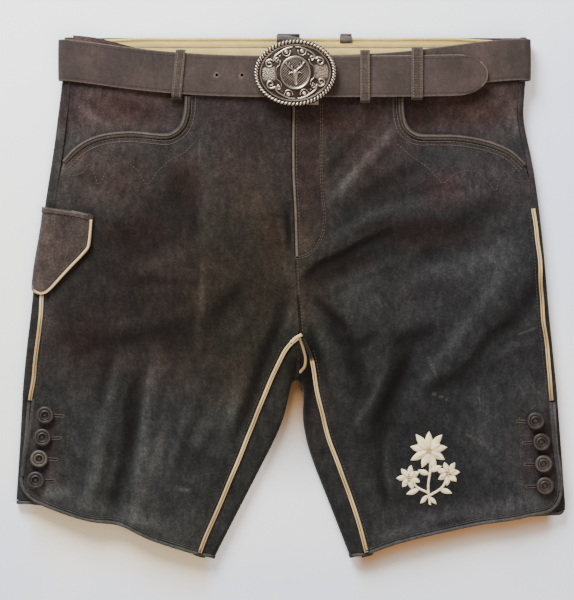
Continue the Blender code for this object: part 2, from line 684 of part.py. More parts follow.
def hip_piece(side):
    """The piece behind the pocket's mouth, which shows between the pocket's edge and the belt."""
    inward = 1 if side == "left" else -1
    edge = even(smooth(HIP_EDGE[side]), 10)
    waist = smooth(WAIST_SEAM[side])
    if side == "right":
        waist = waist[::-1]
    waist = waist[inward * (waist[:, 0] - edge[-1, 0]) <= 0]
    top = even(waist, 10) + [0, -HALF_GAP]
    seam = cut(SEAM_LINE[side], HIP_EDGE[side][0].y, WAIST_SEAM[side][0 if side == "left" else -1].y)
    outer = even(seam, 7) + [inward * HALF_GAP, 0]
    top[0], edge[0] = outer[0], outer[-1]
    inner = even(np.array([top[-1], edge[-1]]), 7)
    grid = raised(patch(top, edge, outer, inner))
    down, across = np.linspace(0, 1, 7)[:, None], np.linspace(0, 1, 10)[None]
    hidden = np.maximum(eased(down, 0.1, 0.6), eased(across, 0.45, 0.75))
    grid[..., 2] -= 0.5 + (HIP_DROP - 0.5) * hidden
    front = SURFACES[-1]
    for point in grid.reshape(-1, 3):
        for dx in (-4, 0, 4):
            hit = front.ray_cast((point[0] + dx, point[1] + 3, 100.0), (0, 0, -1))[0]
            if hit is not None:
                point[2] = min(point[2], hit.z - LEATHER - GAP - 0.6)
    leather(f"hip_{side}", grid)


def waistband_front(side):
    top, seam = even(smooth(WAIST_TOP[side]), 11), even(smooth(WAIST_SEAM[side]), 11)
    seam = seam + [0, HALF_GAP]
    rows = np.linspace(0, 1, 4)[:, None, None]
    flat = top + rows * (seam - top)
    inward = 1 if side == "left" else -1
    outer_column, centre_column = (0, -1) if side == "left" else (-1, 0)
    seam_x = x_at(SEAM_LINE[side], flat[:, outer_column, 1])
    flat[:, outer_column, 0] = seam_x + inward * HALF_GAP
    flat[:, centre_column, 0] -= inward * HALF_GAP
    leather(f"waistband_front_{side}", raised(flat))


def waistband_back():
    """From one side seam round both side folds and along the back to the other."""
    rows = []
    for y in np.linspace(BACK_TOP, BACK_SEAM, 4):
        left, right = side_turn("left", y), side_turn("right", y)[::-1]
        between = left[-1] + np.outer(np.linspace(0, 1, 13)[1:-1], right[0] - left[-1])
        rows.append(np.concatenate([left, between, right]))
    leather("waistband_back", np.stack(rows))


def waistband_lining():
    """The cloth facing inside the back of the waist, which the lower front leaves open to view."""
    xs = np.linspace(-206, 216, 15)
    ys = np.linspace(BACK_TOP - 0.8, 196, 4)
    x, y = np.meshgrid(xs, ys)
    z = back_z(y) + LEATHER / 2 + GAP + LINING / 2
    leather("waistband_lining", np.stack([x, y, z], axis=-1), LINING, "lining_cloth")


def front_edge_path(side):
    """The vent's edge, its rounded corner and the hem of the front."""
    vent = cut(SEAM_LINE[side], FRONT_HEM[side][0].y, VENT_TOP)
    shares = np.concatenate([np.linspace(0, 0.2, 9), np.linspace(0.2, 0.995, 13)[1:]])
    hem = spaced(smooth(FRONT_HEM[side]), shares)
    return np.concatenate([even(vent, 6)[:-1], hem])


def hems(side, back_grid):
    """The rolled edges of the front, with its vent, and of the back."""
    outwards = GAP + 0.1 + HEM_ROLL / 2
    edge = front_edge_path(side)
    line = shifted(edge, -outwards if side == "left" else outwards)
    sideways = np.column_stack([line - edge, np.zeros(len(line))])
    tube(f"hem_front_{side}", on_front(line), sideways, HEM_ROLL, HEM_HEIGHT, "suede")
    last = back_grid[-1]
    away = last - back_grid[-2]
    away[:, 2] = 0
    away /= np.linalg.norm(away, axis=1)[:, None]
    for _ in range(3):
        away[1:-1] = (away[:-2] + 2 * away[1:-1] + away[2:]) / 4
        away /= np.linalg.norm(away, axis=1)[:, None]
    path = last + away * outwards
    path[:, 2] = np.maximum(path[:, 2], HEM_HEIGHT / 2)
    along = length_along(path)
    kept = along < along[-1] - outwards - 2.5
    end = (along[-1] - outwards - 0.6) / along[-1]
    path = np.concatenate([path[kept], spaced(path, [end])])
    away = np.concatenate([away[kept], away[-1:]])
    tube(f"hem_back_{side}", path, away, HEM_ROLL, HEM_HEIGHT, "suede")


def pipings():
    """Cream leather piping over the inseams, the side seams and the seat seam at the crotch."""
    for side in ("left", "right"):
        shares = np.concatenate([np.linspace(0.015, 0.3, 8), np.linspace(0.3, 1, 13)[1:]])
        inseam = spaced(INSEAM_LINE[side], shares)
        strip(f"piping_inseam_{side}", inseam, PIPING_WIDTH, TRIM, "cream_leather")
    tops = {"left": -3, "right": 84}
    for side in ("left", "right"):
        seam = cut(SEAM_LINE[side], VENT_TOP, tops[side])
        line = even(seam, 14 if side == "right" else 9)
        strip(f"piping_side_{side}", line, PIPING_WIDTH, TRIM, "cream_leather")
    seat_piping()


def seat_piping():
    """Over the seat seam from the crotch down and round the fold."""
    edge = np.array(INNER_FOLD[CROTCH_FOLD])
    inward = np.array([0.0, 1.0])
    arc = turn_points(edge, inward, INNER_TURN, edge[1] + INNER_TURN, np.linspace(0.4, 1, 7))
    start = arc[-1, :2]
    end = np.array(CROTCH) + 0.2 * (start - np.array(CROTCH))
    strip_part = on_front(start + np.outer(np.linspace(0, 1, 6)[1:], end - start))
    path = np.concatenate([arc, strip_part])
    tangent = np.gradient(path, axis=0)
    tangent /= np.linalg.norm(tangent, axis=1)[:, None]
    normal = np.cross([1.0, 0.0, 0.0], tangent)
    normal /= np.linalg.norm(normal, axis=1)[:, None]
    rings = [
        path + across * SEAT_PIPING * np.array([1.0, 0, 0]) + normal * (SEAT_LIFT + up * TRIM)
        for across, up in STRIP_SECTION
    ]
    loft("piping_seat", np.stack(rings, axis=1), "cream_leather")


def pocket_welt(side):
    inwards = -(WELT_WIDTH / 2 + 0.3) if side == "left" else WELT_WIDTH / 2 + 0.3
    edge = smooth(POCKET_EDGE[side])
    line = shifted(edge, inwards)
    line = even(line[line[:, 1] < WELT_TOP[side]], 17)
    strip(f"pocket_welt_{side}", line, WELT_WIDTH, TRIM, "trim_leather")


def fly_edge():
    line = cut(smooth(CENTRE_FRONT), FLY_BOTTOM, 194)
    strip("fly_edge", even(line, 12) + [2.0, 0], FLY_EDGE, 1.0, "trim_leather")


# ---------------------------------------------------------------- the knife pocket


def round_left_side(round_side, y):
    """The point of the left half's outer form at a distance from the side seam."""
    seam_x = x_at(SEAM_LINE["left"], y)
    if round_side >= 0:
        return np.array([seam_x + round_side, y, front_z(seam_x + round_side, y)])
    path = side_turn("left", y)
    along = length_along(path)
    return np.array([np.interp(-round_side, along, path[:, k]) for k in range(3)])


def moved_out(grid, by):
    """The grid moved along its own normals, away from the garment."""
    down, across = np.gradient(grid, axis=0), np.gradient(grid, axis=1)
    normal = np.cross(across, down)
    normal /= np.linalg.norm(normal, axis=2)[..., None]
    if normal[0, 0, 2] < 0:
        normal = -normal
    return grid + by * normal


def knife_pocket():
    """A small patch pocket over the left side seam, with piping round its two lower edges."""
    columns, rows = 15, 8
    top, bottom = even(smooth(KNIFE_TOP), columns), even(smooth(KNIFE_BOTTOM), columns)
    flat = patch(top, bottom, even(np.array([top[0], bottom[0]]), rows),
                 even(np.array([top[-1], bottom[-1]]), rows))
    base = np.array([[round_left_side(*p) for p in row] for row in flat])
    pocket = moved_out(base, ON_PANEL + KNIFE_CLEAR + LEATHER / 2)
    leather("knife_pocket", pocket)
    outer = moved_out(pocket, LEATHER / 2 + GAP + 0.15 + TRIM / 2)
    edge = np.concatenate([outer[1:-1, 0], outer[-1]])
    inner = np.concatenate([outer[1:-1, 1], outer[-2]])
    inner[rows - 2], inner[-1] = outer[-2, 1], outer[-2, -2]
    inwards = inner - edge
    inwards /= np.linalg.norm(inwards, axis=1)[:, None]
    path = edge + inwards * 1.9
    tube("knife_pocket_piping", path, inwards, 3.2, TRIM, "cream_leather")
    hem = outer[:2, 1:].copy()
    down = hem[1] - hem[0]
    hem[1] = hem[0] + down * (KNIFE_HEM / np.linalg.norm(down, axis=1))[:, None]
    leather("knife_pocket_hem", hem, 1.2)


# ---------------------------------------------------------------- buttons


def buttons():
    """Turned horn buttons on short thread shanks, four above each hem."""
    mesh = bpy.data.meshes.new("button")
    mesh.from_pydata([(r * MM, 0, z * MM) for r, z in BUTTON_PROFILE],
                     [(i, i + 1) for i in range(len(BUTTON_PROFILE) - 1)], [])
    mesh.materials.append(material("horn"))
    for side, places in BUTTONS.items():
        for number, place in enumerate(places, start=1):
            obj = bpy.data.objects.new(f"button_{side}_{number}", mesh)
            GARMENT.objects.link(obj)
            obj.parent = LAYOUT
            height = front_z(place.x, place.y) + ON_PANEL + 1.2 + 0.15
            obj.location = (place.x * MM, place.y * MM, height * MM)
            turned = obj.modifiers.new("turned", "SCREW")
            turned.angle = math.tau
            turned.steps = turned.render_steps = 12
            turned.use_merge_vertices = True
            turned.merge_threshold = 0.00001


# ---------------------------------------------------------------- the belt


def belt_height(x, y, layer):
    """The middle of the belt's thickness over the front."""
    x, y = np.atleast_1d(x), np.atleast_1d(y)
    near = [
        max(surface_height(px + dx, py + dy) for dx in (-7, 0, 7) for dy in range(-20, 21, 4))
        for px, py in zip(x, y)
    ]
    return np.array(near) + ON_PANEL + BELT / 2 + layer * (BELT + GAP)


def belt_turn(side, y_front, z_front):
    """Round one side fold, from the front down to the underside."""
    edge_x = BELT_LEFT if side == "left" else BELT_RIGHT
    inward = 1 if side == "left" else -1
    z_back = LOOP + GAP + BELT / 2
    angle = np.pi * (np.linspace(1, 0, 9) - 0.5)
    middle, half = (z_front + z_back) / 2, (z_front - z_back) / 2
    y = y_front + (BELT_BACK_Y - y_front) * np.linspace(0, 1, 9)
    return np.column_stack(
        [edge_x + inward * 7.5 * (1 - np.cos(angle)), y, middle + half * np.sin(angle)]
    )


def belt_path():
    """From the buckle to the right, round the back, over the left front and on to the free end."""
    band = even(smooth(BAND_LINE), 12)
    band_z = belt_height(band[:, 0], band[:, 1], 0)
    right = belt_turn("right", band[-1, 1], band_z[-1])
    main = smooth(BELT_LINE)
    main = main[main[:, 0] > BELT_LEFT + 9]
    before_tip = main[main[:, 0] < BELT_TIP - BELT_TIP_ROUND]
    front = even(before_tip, 22)
    layer = eased(front[:, 0], -34, 10)
    front_height = belt_height(front[:, 0], front[:, 1], 0) + layer * (BELT + GAP + 0.25)
    left = belt_turn("left", front[0, 1], front_height[0])[::-1]
    share = np.sin(np.linspace(0, math.pi / 2, 6))[1:]
    tip_x = BELT_TIP - BELT_TIP_ROUND + BELT_TIP_ROUND * share
    tip_x[-1] -= 0.35
    tip_y = np.interp(tip_x, main[:, 0], main[:, 1])
    tip_z = belt_height(tip_x, tip_y, 0) + BELT + GAP + 0.25
    path = np.concatenate(
        [
            np.column_stack([band, band_z]),
            right,
            [[CENTRE_BACK_X, BELT_BACK_Y, LOOP + GAP + BELT / 2]],
            left,
            np.column_stack([front, front_height])[1:],
            np.column_stack([tip_x, tip_y, tip_z]),
        ]
    )
    return path, len(share)


BELT_SECTION = ((-0.5, -0.3), (-0.5, 0.3), (-0.48, 0.5), (0.48, 0.5), (0.5, 0.3), (0.5, -0.3),
                (0.48, -0.5), (-0.48, -0.5))


def belt_strap():
    path, tip_count = belt_path()
    tangent = np.gradient(path, axis=0)
    tangent /= np.linalg.norm(tangent, axis=1)[:, None]
    along_y = np.array([0.0, 1.0, 0.0])
    widthways = along_y - tangent * (tangent @ along_y)[:, None]
    widthways /= np.linalg.norm(widthways, axis=1)[:, None]
    outward = np.cross(tangent, widthways)
    width = np.full(len(path), float(BELT_WIDTH))
    tip_x = path[-tip_count:, 0] - (BELT_TIP - BELT_TIP_ROUND)
    width[-tip_count:] *= np.sqrt(np.clip(1 - (tip_x / BELT_TIP_ROUND) ** 2, 0.01, 1))
    rings = [
        path + (across * width)[:, None] * widthways + up * BELT * outward
        for across, up in BELT_SECTION
    ]
    loft("belt_strap", np.stack(rings, axis=1), "belt_leather")
    return path


def loop_solid(name, path, width):
    tangent = np.gradient(path, axis=0)
    tangent /= np.linalg.norm(tangent, axis=1)[:, None]
    sideways = np.array([1.0, 0, 0])
    outward = np.cross(sideways, tangent)
    outward /= np.linalg.norm(outward, axis=1)[:, None]
    rings = [
        path + a * width * sideways + b * LOOP * outward
        for a, b in ((-0.5, -0.5), (-0.5, 0.5), (0.5, 0.5), (0.5, -0.5))
    ]
    loft(name, np.stack(rings, axis=1), "trim_leather")


def front_loops():
    """Strips sewn to the waistband above and below the belt, and the belt's own keeper."""
    for loop in FRONT_LOOPS:
        middle_y = (loop.top_y + loop.bottom_y) / 2
        middle_x = (loop.top_x + loop.bottom_x) / 2
        over = belt_height(middle_x, 212.0, 0)[0] + (loop.layers - 1) * (BELT + GAP + 0.25)
        over += BELT / 2 + GAP + LOOP / 2 + 0.35
        foot = front_z(loop.bottom_x, loop.bottom_y) + ON_PANEL + LOOP / 2
        head = front_z(loop.top_x, loop.top_y - 4) + ON_PANEL
        slope = (loop.top_x - loop.bottom_x) / (loop.top_y - loop.bottom_y)
        profile = (
            (loop.bottom_y - 1.4, foot), (loop.bottom_y - 0.2, foot + 0.3),
            (loop.bottom_y, (foot + over) / 2), (loop.bottom_y + 1.0, over - 0.6),
            (loop.bottom_y + 3.5, over), (middle_y, over), (loop.top_y - 3.0, over),
            (loop.top_y - 0.6, over - 0.6), (loop.top_y + 0.4, (head + over) / 2),
            (loop.top_y + 0.4, head),
        )
        path = np.array([(middle_x + slope * (y - middle_y), y, z) for y, z in profile])
        loop_solid(loop.name, path, loop.width)


def back_loops():
    """Below the belt at the back; their upper bends stand a little above the waistband."""
    for name, x, width in BACK_LOOPS:
        low = LOOP / 2
        top = 253.4
        profile = ((201.5, 4.0), (203.5, 1.6), (206.0, low), (228.0, low), (249.5, low),
                   (252.0, 1.4), (top, 3.4), (top, 8.4))
        loop_solid(name, np.array([(x, y, z) for y, z in profile]), width)


# ---------------------------------------------------------------- the buckle


def ellipse(count, scale=1.0, grow=0.0):
    angle = 2 * np.pi * np.arange(count) / count
    return np.stack(
        [(BUCKLE_HALF[0] * scale + grow) * np.cos(angle),
         (BUCKLE_HALF[1] * scale + grow) * np.sin(angle)], axis=1)


def on_buckle(flat, z):
    """Points of the buckle's own plane, turned and moved to its place."""
    flat = np.asarray(flat, float)
    c, s = math.cos(BUCKLE_TILT), math.sin(BUCKLE_TILT)
    x = BUCKLE_CENTRE[0] + c * flat[..., 0] - s * flat[..., 1]
    y = BUCKLE_CENTRE[1] + s * flat[..., 0] + c * flat[..., 1]
    return np.stack([x, y, np.broadcast_to(z, x.shape)], axis=-1)


def plate_height(flat):
    """The top of the domed plate above its own back."""
    share = math.hypot(flat[0] / BUCKLE_HALF[0], flat[1] / BUCKLE_HALF[1])
    shares, heights = zip(*PLATE_RINGS[:0:-1])
    return float(np.interp(share, shares, heights))


def buckle_base(path):
    near = path[np.hypot(path[:, 0] - BUCKLE_CENTRE[0], path[:, 1] - BUCKLE_CENTRE[1]) < 44]
    return near[:, 2].max() + BELT / 2 + GAP + 3.6


def scroll_line(x_way, y_way):
    """A scroll of one quarter: it springs beside the rim and curls in."""
    turn = np.linspace(0, 1, 13)
    angle = math.radians(120) - turn * 2 * math.pi * SCROLL_TURNS
    radius = 10.0 * (1 - 0.76 * turn)
    curl = np.array([19.5, 10.0]) + np.stack([radius * np.cos(angle), radius * np.sin(angle)], 1)
    return curl * [x_way, y_way]


def buckle(path):
    base = buckle_base(path)
    plate = [on_buckle(ellipse(28, share), base + z) for share, z in PLATE_RINGS]
    loft("buckle_plate", np.stack(plate), "old_silver")
    rim = np.column_stack([on_buckle(ellipse(40), base + 1.3)])
    wire("buckle_rim", rim, BUCKLE_RIM / 2, closed=True)
    medallion_top = base + PLATE_RINGS[-1][1] + GAP
    around = 2 * np.pi * np.arange(20) / 20
    oval = np.stack([MEDALLION_HALF[0] * np.cos(around), MEDALLION_HALF[1] * np.sin(around)], 1)
    medallion = [on_buckle(oval * s, medallion_top + z) for s, z in ((1, 0), (1, 0.8), (0.92, 1.1))]
    loft("buckle_medallion", np.stack(medallion), "old_silver")
    outline = [*STAG_HALF, *[(-x, y) for x, y in STAG_HALF[-2:0:-1]]]
    stag_z = medallion_top + 1.1 + GAP
    flat_solid("buckle_stag", np.array(outline), stag_z, 1.3)
    number = 0
    for x_way in (-1, 1):
        for y_way in (-1, 1):
            number += 1
            line = scroll_line(x_way, y_way)
            heights = [base + plate_height(flat) + GAP + SCROLL / 2 for flat in line]
            wire(f"buckle_scroll_{number}", on_buckle(line, np.array(heights)), SCROLL / 2)
            boss(f"buckle_boss_{number}", np.array([7.0 * x_way, 21.4 * y_way]), base)
    low, high = BAR_Y
    block("buckle_bar", (BAR_X, (low + high) / 2, base - 2.35), (BAR_WIDTH, high - low, 1.7))


def block(name, middle, size):
    form = bmesh.new()
    bmesh.ops.create_cube(form, size=1)
    for vertex in form.verts:
        vertex.co = [(m + c * e) * MM for m, c, e in zip(middle, vertex.co, size)]
    mesh = bpy.data.meshes.new(name)
    form.to_mesh(mesh)
    form.free()
    add_object(name, mesh, "old_silver")


def flat_solid(name, outline, z, height):
    data = bpy.data.curves.new(name, "CURVE")
    data.dimensions = "2D"
    data.fill_mode = "BOTH"
    data.extrude = height / 2 * MM
    spline = data.splines.new("POLY")
    places = on_buckle(outline, 0.0)
    spline.points.add(len(places) - 1)
    for point, place in zip(spline.points, places):
        point.co = (place[0] * MM, place[1] * MM, 0, 1)
    spline.use_cyclic_u = True
    obj = add_object(name, data, "old_silver")
    obj.location.z = (z + height / 2) * MM


def wire(name, path, radius, closed=False):
    data = bpy.data.curves.new(name, "CURVE")
    data.dimensions = "3D"
    data.bevel_depth = radius * MM
    data.bevel_resolution = 1
    data.use_fill_caps = True
    spline = data.splines.new("POLY")
    spline.points.add(len(path) - 1)
    for point, place in zip(spline.points, path):
        point.co = (*(place * MM), 1)
    spline.use_cyclic_u = closed
    add_object(name, data, "old_silver")


def boss(name, flat, base):
    """A small round rosette between two scrolls."""
    form = bmesh.new()
    bmesh.ops.create_cone(
        form, cap_ends=True, segments=10, radius1=2.9 * MM, radius2=1.8 * MM, depth=1.9 * MM
    )
    mesh = bpy.data.meshes.new(name)
    form.to_mesh(mesh)
    form.free()
    obj = add_object(name, mesh, "old_silver")
    obj.location = on_buckle(flat, base + plate_height(flat) + 1.5) * MM


# ---------------------------------------------------------------- the whole garment


def centre_on_origin():
    """Moves the layout so that the middle of the garment's underside is at the origin."""
    bpy.context.view_layer.update()
    graph = bpy.context.evaluated_depsgraph_get()
    corners = []
    for obj in GARMENT.objects:
        if obj.type == "EMPTY":
            continue
        evaluated = obj.evaluated_get(graph)
        mesh = evaluated.to_mesh()
        flat = np.empty(len(mesh.vertices) * 3, np.float32)
        mesh.vertices.foreach_get("co", flat)
        local = flat.reshape(-1, 3).astype(float)
        world = np.array(evaluated.matrix_world)
        corners.append(local @ world[:3, :3].T + world[:3, 3])
        evaluated.to_mesh_clear()
    everything = np.concatenate(corners)
    low, high = everything.min(axis=0), everything.max(axis=0)
    LAYOUT.location = (-(low[0] + high[0]) / 2, -(low[1] + high[1]) / 2, -low[2])


for old in list(bpy.data.objects):
    bpy.data.objects.remove(old, do_unlink=True)
GARMENT = bpy.data.collections.new("lederhosen")
bpy.context.scene.collection.children.link(GARMENT)
LAYOUT = bpy.data.objects.new("layout", None)
GARMENT.objects.link(LAYOUT)

for SIDE in ("left", "right"):
    front_panel(SIDE)
    hip_piece(SIDE)
    waistband_front(SIDE)
    pocket_welt(SIDE)
    hems(SIDE, back_panel(SIDE))
waistband_back()
waistband_lining()
fly_edge()
pipings()
knife_pocket()
buttons()
BELT_PATH = belt_strap()
front_loops()
back_loops()
buckle(BELT_PATH)
centre_on_origin()
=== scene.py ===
import json
import math
from contextlib import contextmanager

import bmesh
import bpy
import numpy as np
from mathutils import Matrix, Vector, noise
from mathutils.bvhtree import BVHTree
from mathutils.kdtree import KDTree

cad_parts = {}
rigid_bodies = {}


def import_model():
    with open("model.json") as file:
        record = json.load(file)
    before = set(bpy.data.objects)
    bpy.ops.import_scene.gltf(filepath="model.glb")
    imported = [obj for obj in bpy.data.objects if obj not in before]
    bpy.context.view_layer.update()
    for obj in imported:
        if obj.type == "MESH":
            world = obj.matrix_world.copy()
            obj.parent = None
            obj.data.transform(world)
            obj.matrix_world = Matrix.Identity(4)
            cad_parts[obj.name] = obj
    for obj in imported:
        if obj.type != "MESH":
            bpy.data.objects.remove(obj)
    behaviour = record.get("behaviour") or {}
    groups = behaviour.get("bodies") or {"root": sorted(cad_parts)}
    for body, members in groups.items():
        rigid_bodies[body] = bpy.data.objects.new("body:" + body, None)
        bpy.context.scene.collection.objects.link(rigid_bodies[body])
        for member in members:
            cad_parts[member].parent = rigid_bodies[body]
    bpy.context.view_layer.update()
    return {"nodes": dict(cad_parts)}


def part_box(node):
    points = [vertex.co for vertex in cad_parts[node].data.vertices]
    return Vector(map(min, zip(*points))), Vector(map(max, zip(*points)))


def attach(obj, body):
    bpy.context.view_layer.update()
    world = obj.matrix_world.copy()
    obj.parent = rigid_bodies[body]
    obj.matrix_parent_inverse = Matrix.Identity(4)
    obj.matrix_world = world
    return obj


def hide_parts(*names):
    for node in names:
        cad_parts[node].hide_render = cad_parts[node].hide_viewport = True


# Leather shorts laid flat with their belt. Places are in millimetres on the cutting layout:
# X to the right, Y towards the waist, Z up from the table. Lines run x, y, x, y and so on.
mm = 0.001
layoutShift = np.array([-0.409, 1.344, 0.0])

for thing in list(bpy.data.objects):
    bpy.data.objects.remove(thing)
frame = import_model()
bpy.ops.object.select_all(action="DESELECT")
print("frame loaded:", len(frame["nodes"]), "nodes")


def eased(value, low, high):
    t = np.clip((np.asarray(value, float) - low) / (high - low), 0, 1)
    return t * t * (3 - 2 * t)


def bell(value, middle, reach):
    return np.exp(-(((value - middle) / reach) ** 2))


def rough(places, wide, high, seed):
    # slow noise over the layout, at its own scale across and up
    return np.array([noise.noise((x / wide, y / high, seed)) for x, y in places[:, :2].tolist()])


def lengthAlong(line):
    return np.concatenate([[0], np.cumsum(np.linalg.norm(np.diff(line, axis=0), axis=1))])


def smoothLine(table, perSpan=8):
    p = np.reshape(table, (-1, 2)).astype(float)
    if len(p) < 3:
        return p
    chord = lengthAlong(p)
    slope = np.gradient(p, chord, axis=0)
    t = np.linspace(0, 1, perSpan, endpoint=False)[:, None]
    out = [
        (1 + 2 * t) * (1 - t) ** 2 * p[i]
        + t * (1 - t) ** 2 * span * slope[i]
        + t * t * (3 - 2 * t) * p[i + 1]
        + t * t * (t - 1) * span * slope[i + 1]
        for i, span in enumerate(np.diff(chord))
    ]
    return np.concatenate([*out, p[-1:]])


def stepped(line, pitch):
    # points a pitch apart, with the line's direction at each
    line = np.asarray(line, float)
    along = lengthAlong(line)
    at = np.linspace(0, along[-1], max(2, int(round(along[-1] / pitch)) + 1))
    places = np.stack([np.interp(at, along, line[:, k]) for k in range(2)], axis=1)
    return places, np.gradient(places, axis=0)


def shifted(line, by):
    # the line moved to its left
    tangent = np.gradient(line, axis=0)
    tangent /= np.linalg.norm(tangent, axis=1)[:, None]
    return line + by * np.stack([-tangent[:, 1], tangent[:, 0]], axis=1)


def stretch(line, low, high):
    # the part of a line between two levels
    return line[(line[:, 1] >= low) & (line[:, 1] <= high)]


def nearLine(x, y, line):
    # distance to a line, the side (positive on its left) and the share of its length there
    best, side, share = np.full(len(x), 1e9), np.zeros(len(x)), np.zeros(len(x))
    along = lengthAlong(line)
    for i, (dx, dy) in enumerate(np.diff(line, axis=0)):
        ax, ay = line[i]
        t = np.clip(((x - ax) * dx + (y - ay) * dy) / max(dx * dx + dy * dy, 1e-9), 0, 1)
        px, py = x - ax - t * dx, y - ay - t * dy
        away = np.hypot(px, py)
        nearer = away < best
        best = np.where(nearer, away, best)
        side = np.where(nearer, dx * py - dy * px, side)
        share = np.where(nearer, (along[i] + t * (along[i + 1] - along[i])) / along[-1], share)
    return best, side, share


# Seams and edges that the trims and the stitching follow
seams = {name: smoothLine(line) for name, line in {
    "sideLeft": (-211, 254, -212, 225, -213.5, 200, -217, 172, -221, 140, -227.5, 98, -232.5, 60,
        -238, 28, -241.5, -8, -246.5, -55, -251.5, -95, -254.5, -133, -260, -178, -264, -206),
    "sideRight": (223, 254, 222.5, 225, 221.5, 196, 220, 176, 225, 150, 231.5, 118, 236, 84, 241,
        44, 244.5, -8, 249.5, -58, 253.5, -96, 255.5, -130, 258.5, -175, 261, -212),
    "centreFront": (1.5, 197.7, 0.8, 146, 1.2, 114, 3, 83, 4, 46, 6.5, 0, 10, -39.5),
    "inseamLeft": (10, -39.5, -2.5, -49.5, -12.4, -68, -27, -101.5, -47.5, -153, -66, -198, -80.5,
        -231, -88, -250),
    "inseamRight": (10, -39.5, 18.5, -56, 23, -75, 26, -97, 30.5, -114, 35.5, -135, 44, -158, 54.5,
        -186, 66.5, -222, 74, -249.6),
    "pocketLeft": (-221.9, 131, -212, 141.5, -202, 149, -187, 155.5, -169, 158.6, -150, 159.2,
        -132, 157.4, -117, 157.2, -108.6, 163, -104, 174, -102.8, 187, -102.8, 199.4),
    "pocketRight": (229, 128, 216, 140, 197.5, 148.5, 178, 153.4, 158, 155.8, 137, 156, 122, 157,
        114, 163.4, 110.8, 174, 110, 187, 110, 199.4),
    "hemLeft": (-260.4, -180, -257.3, -189.2, -250, -197, -240, -201.6, -222, -208.6, -204, -214.4,
        -188, -218.1, -172, -218.9, -163, -220.9, -154, -225.6, -136, -234.8, -117, -241.1, -103,
        -245.7, -88, -250),
    "hemRight": (258.6, -183, 257.6, -195, 252, -203, 243, -208.2, 228, -213, 203, -217.3, 186,
        -219.4, 165, -223.7, 145, -228.2, 130, -231.4, 117, -234.7, 103, -238.5, 89, -243.1, 74,
        -249.6),
}.items()}

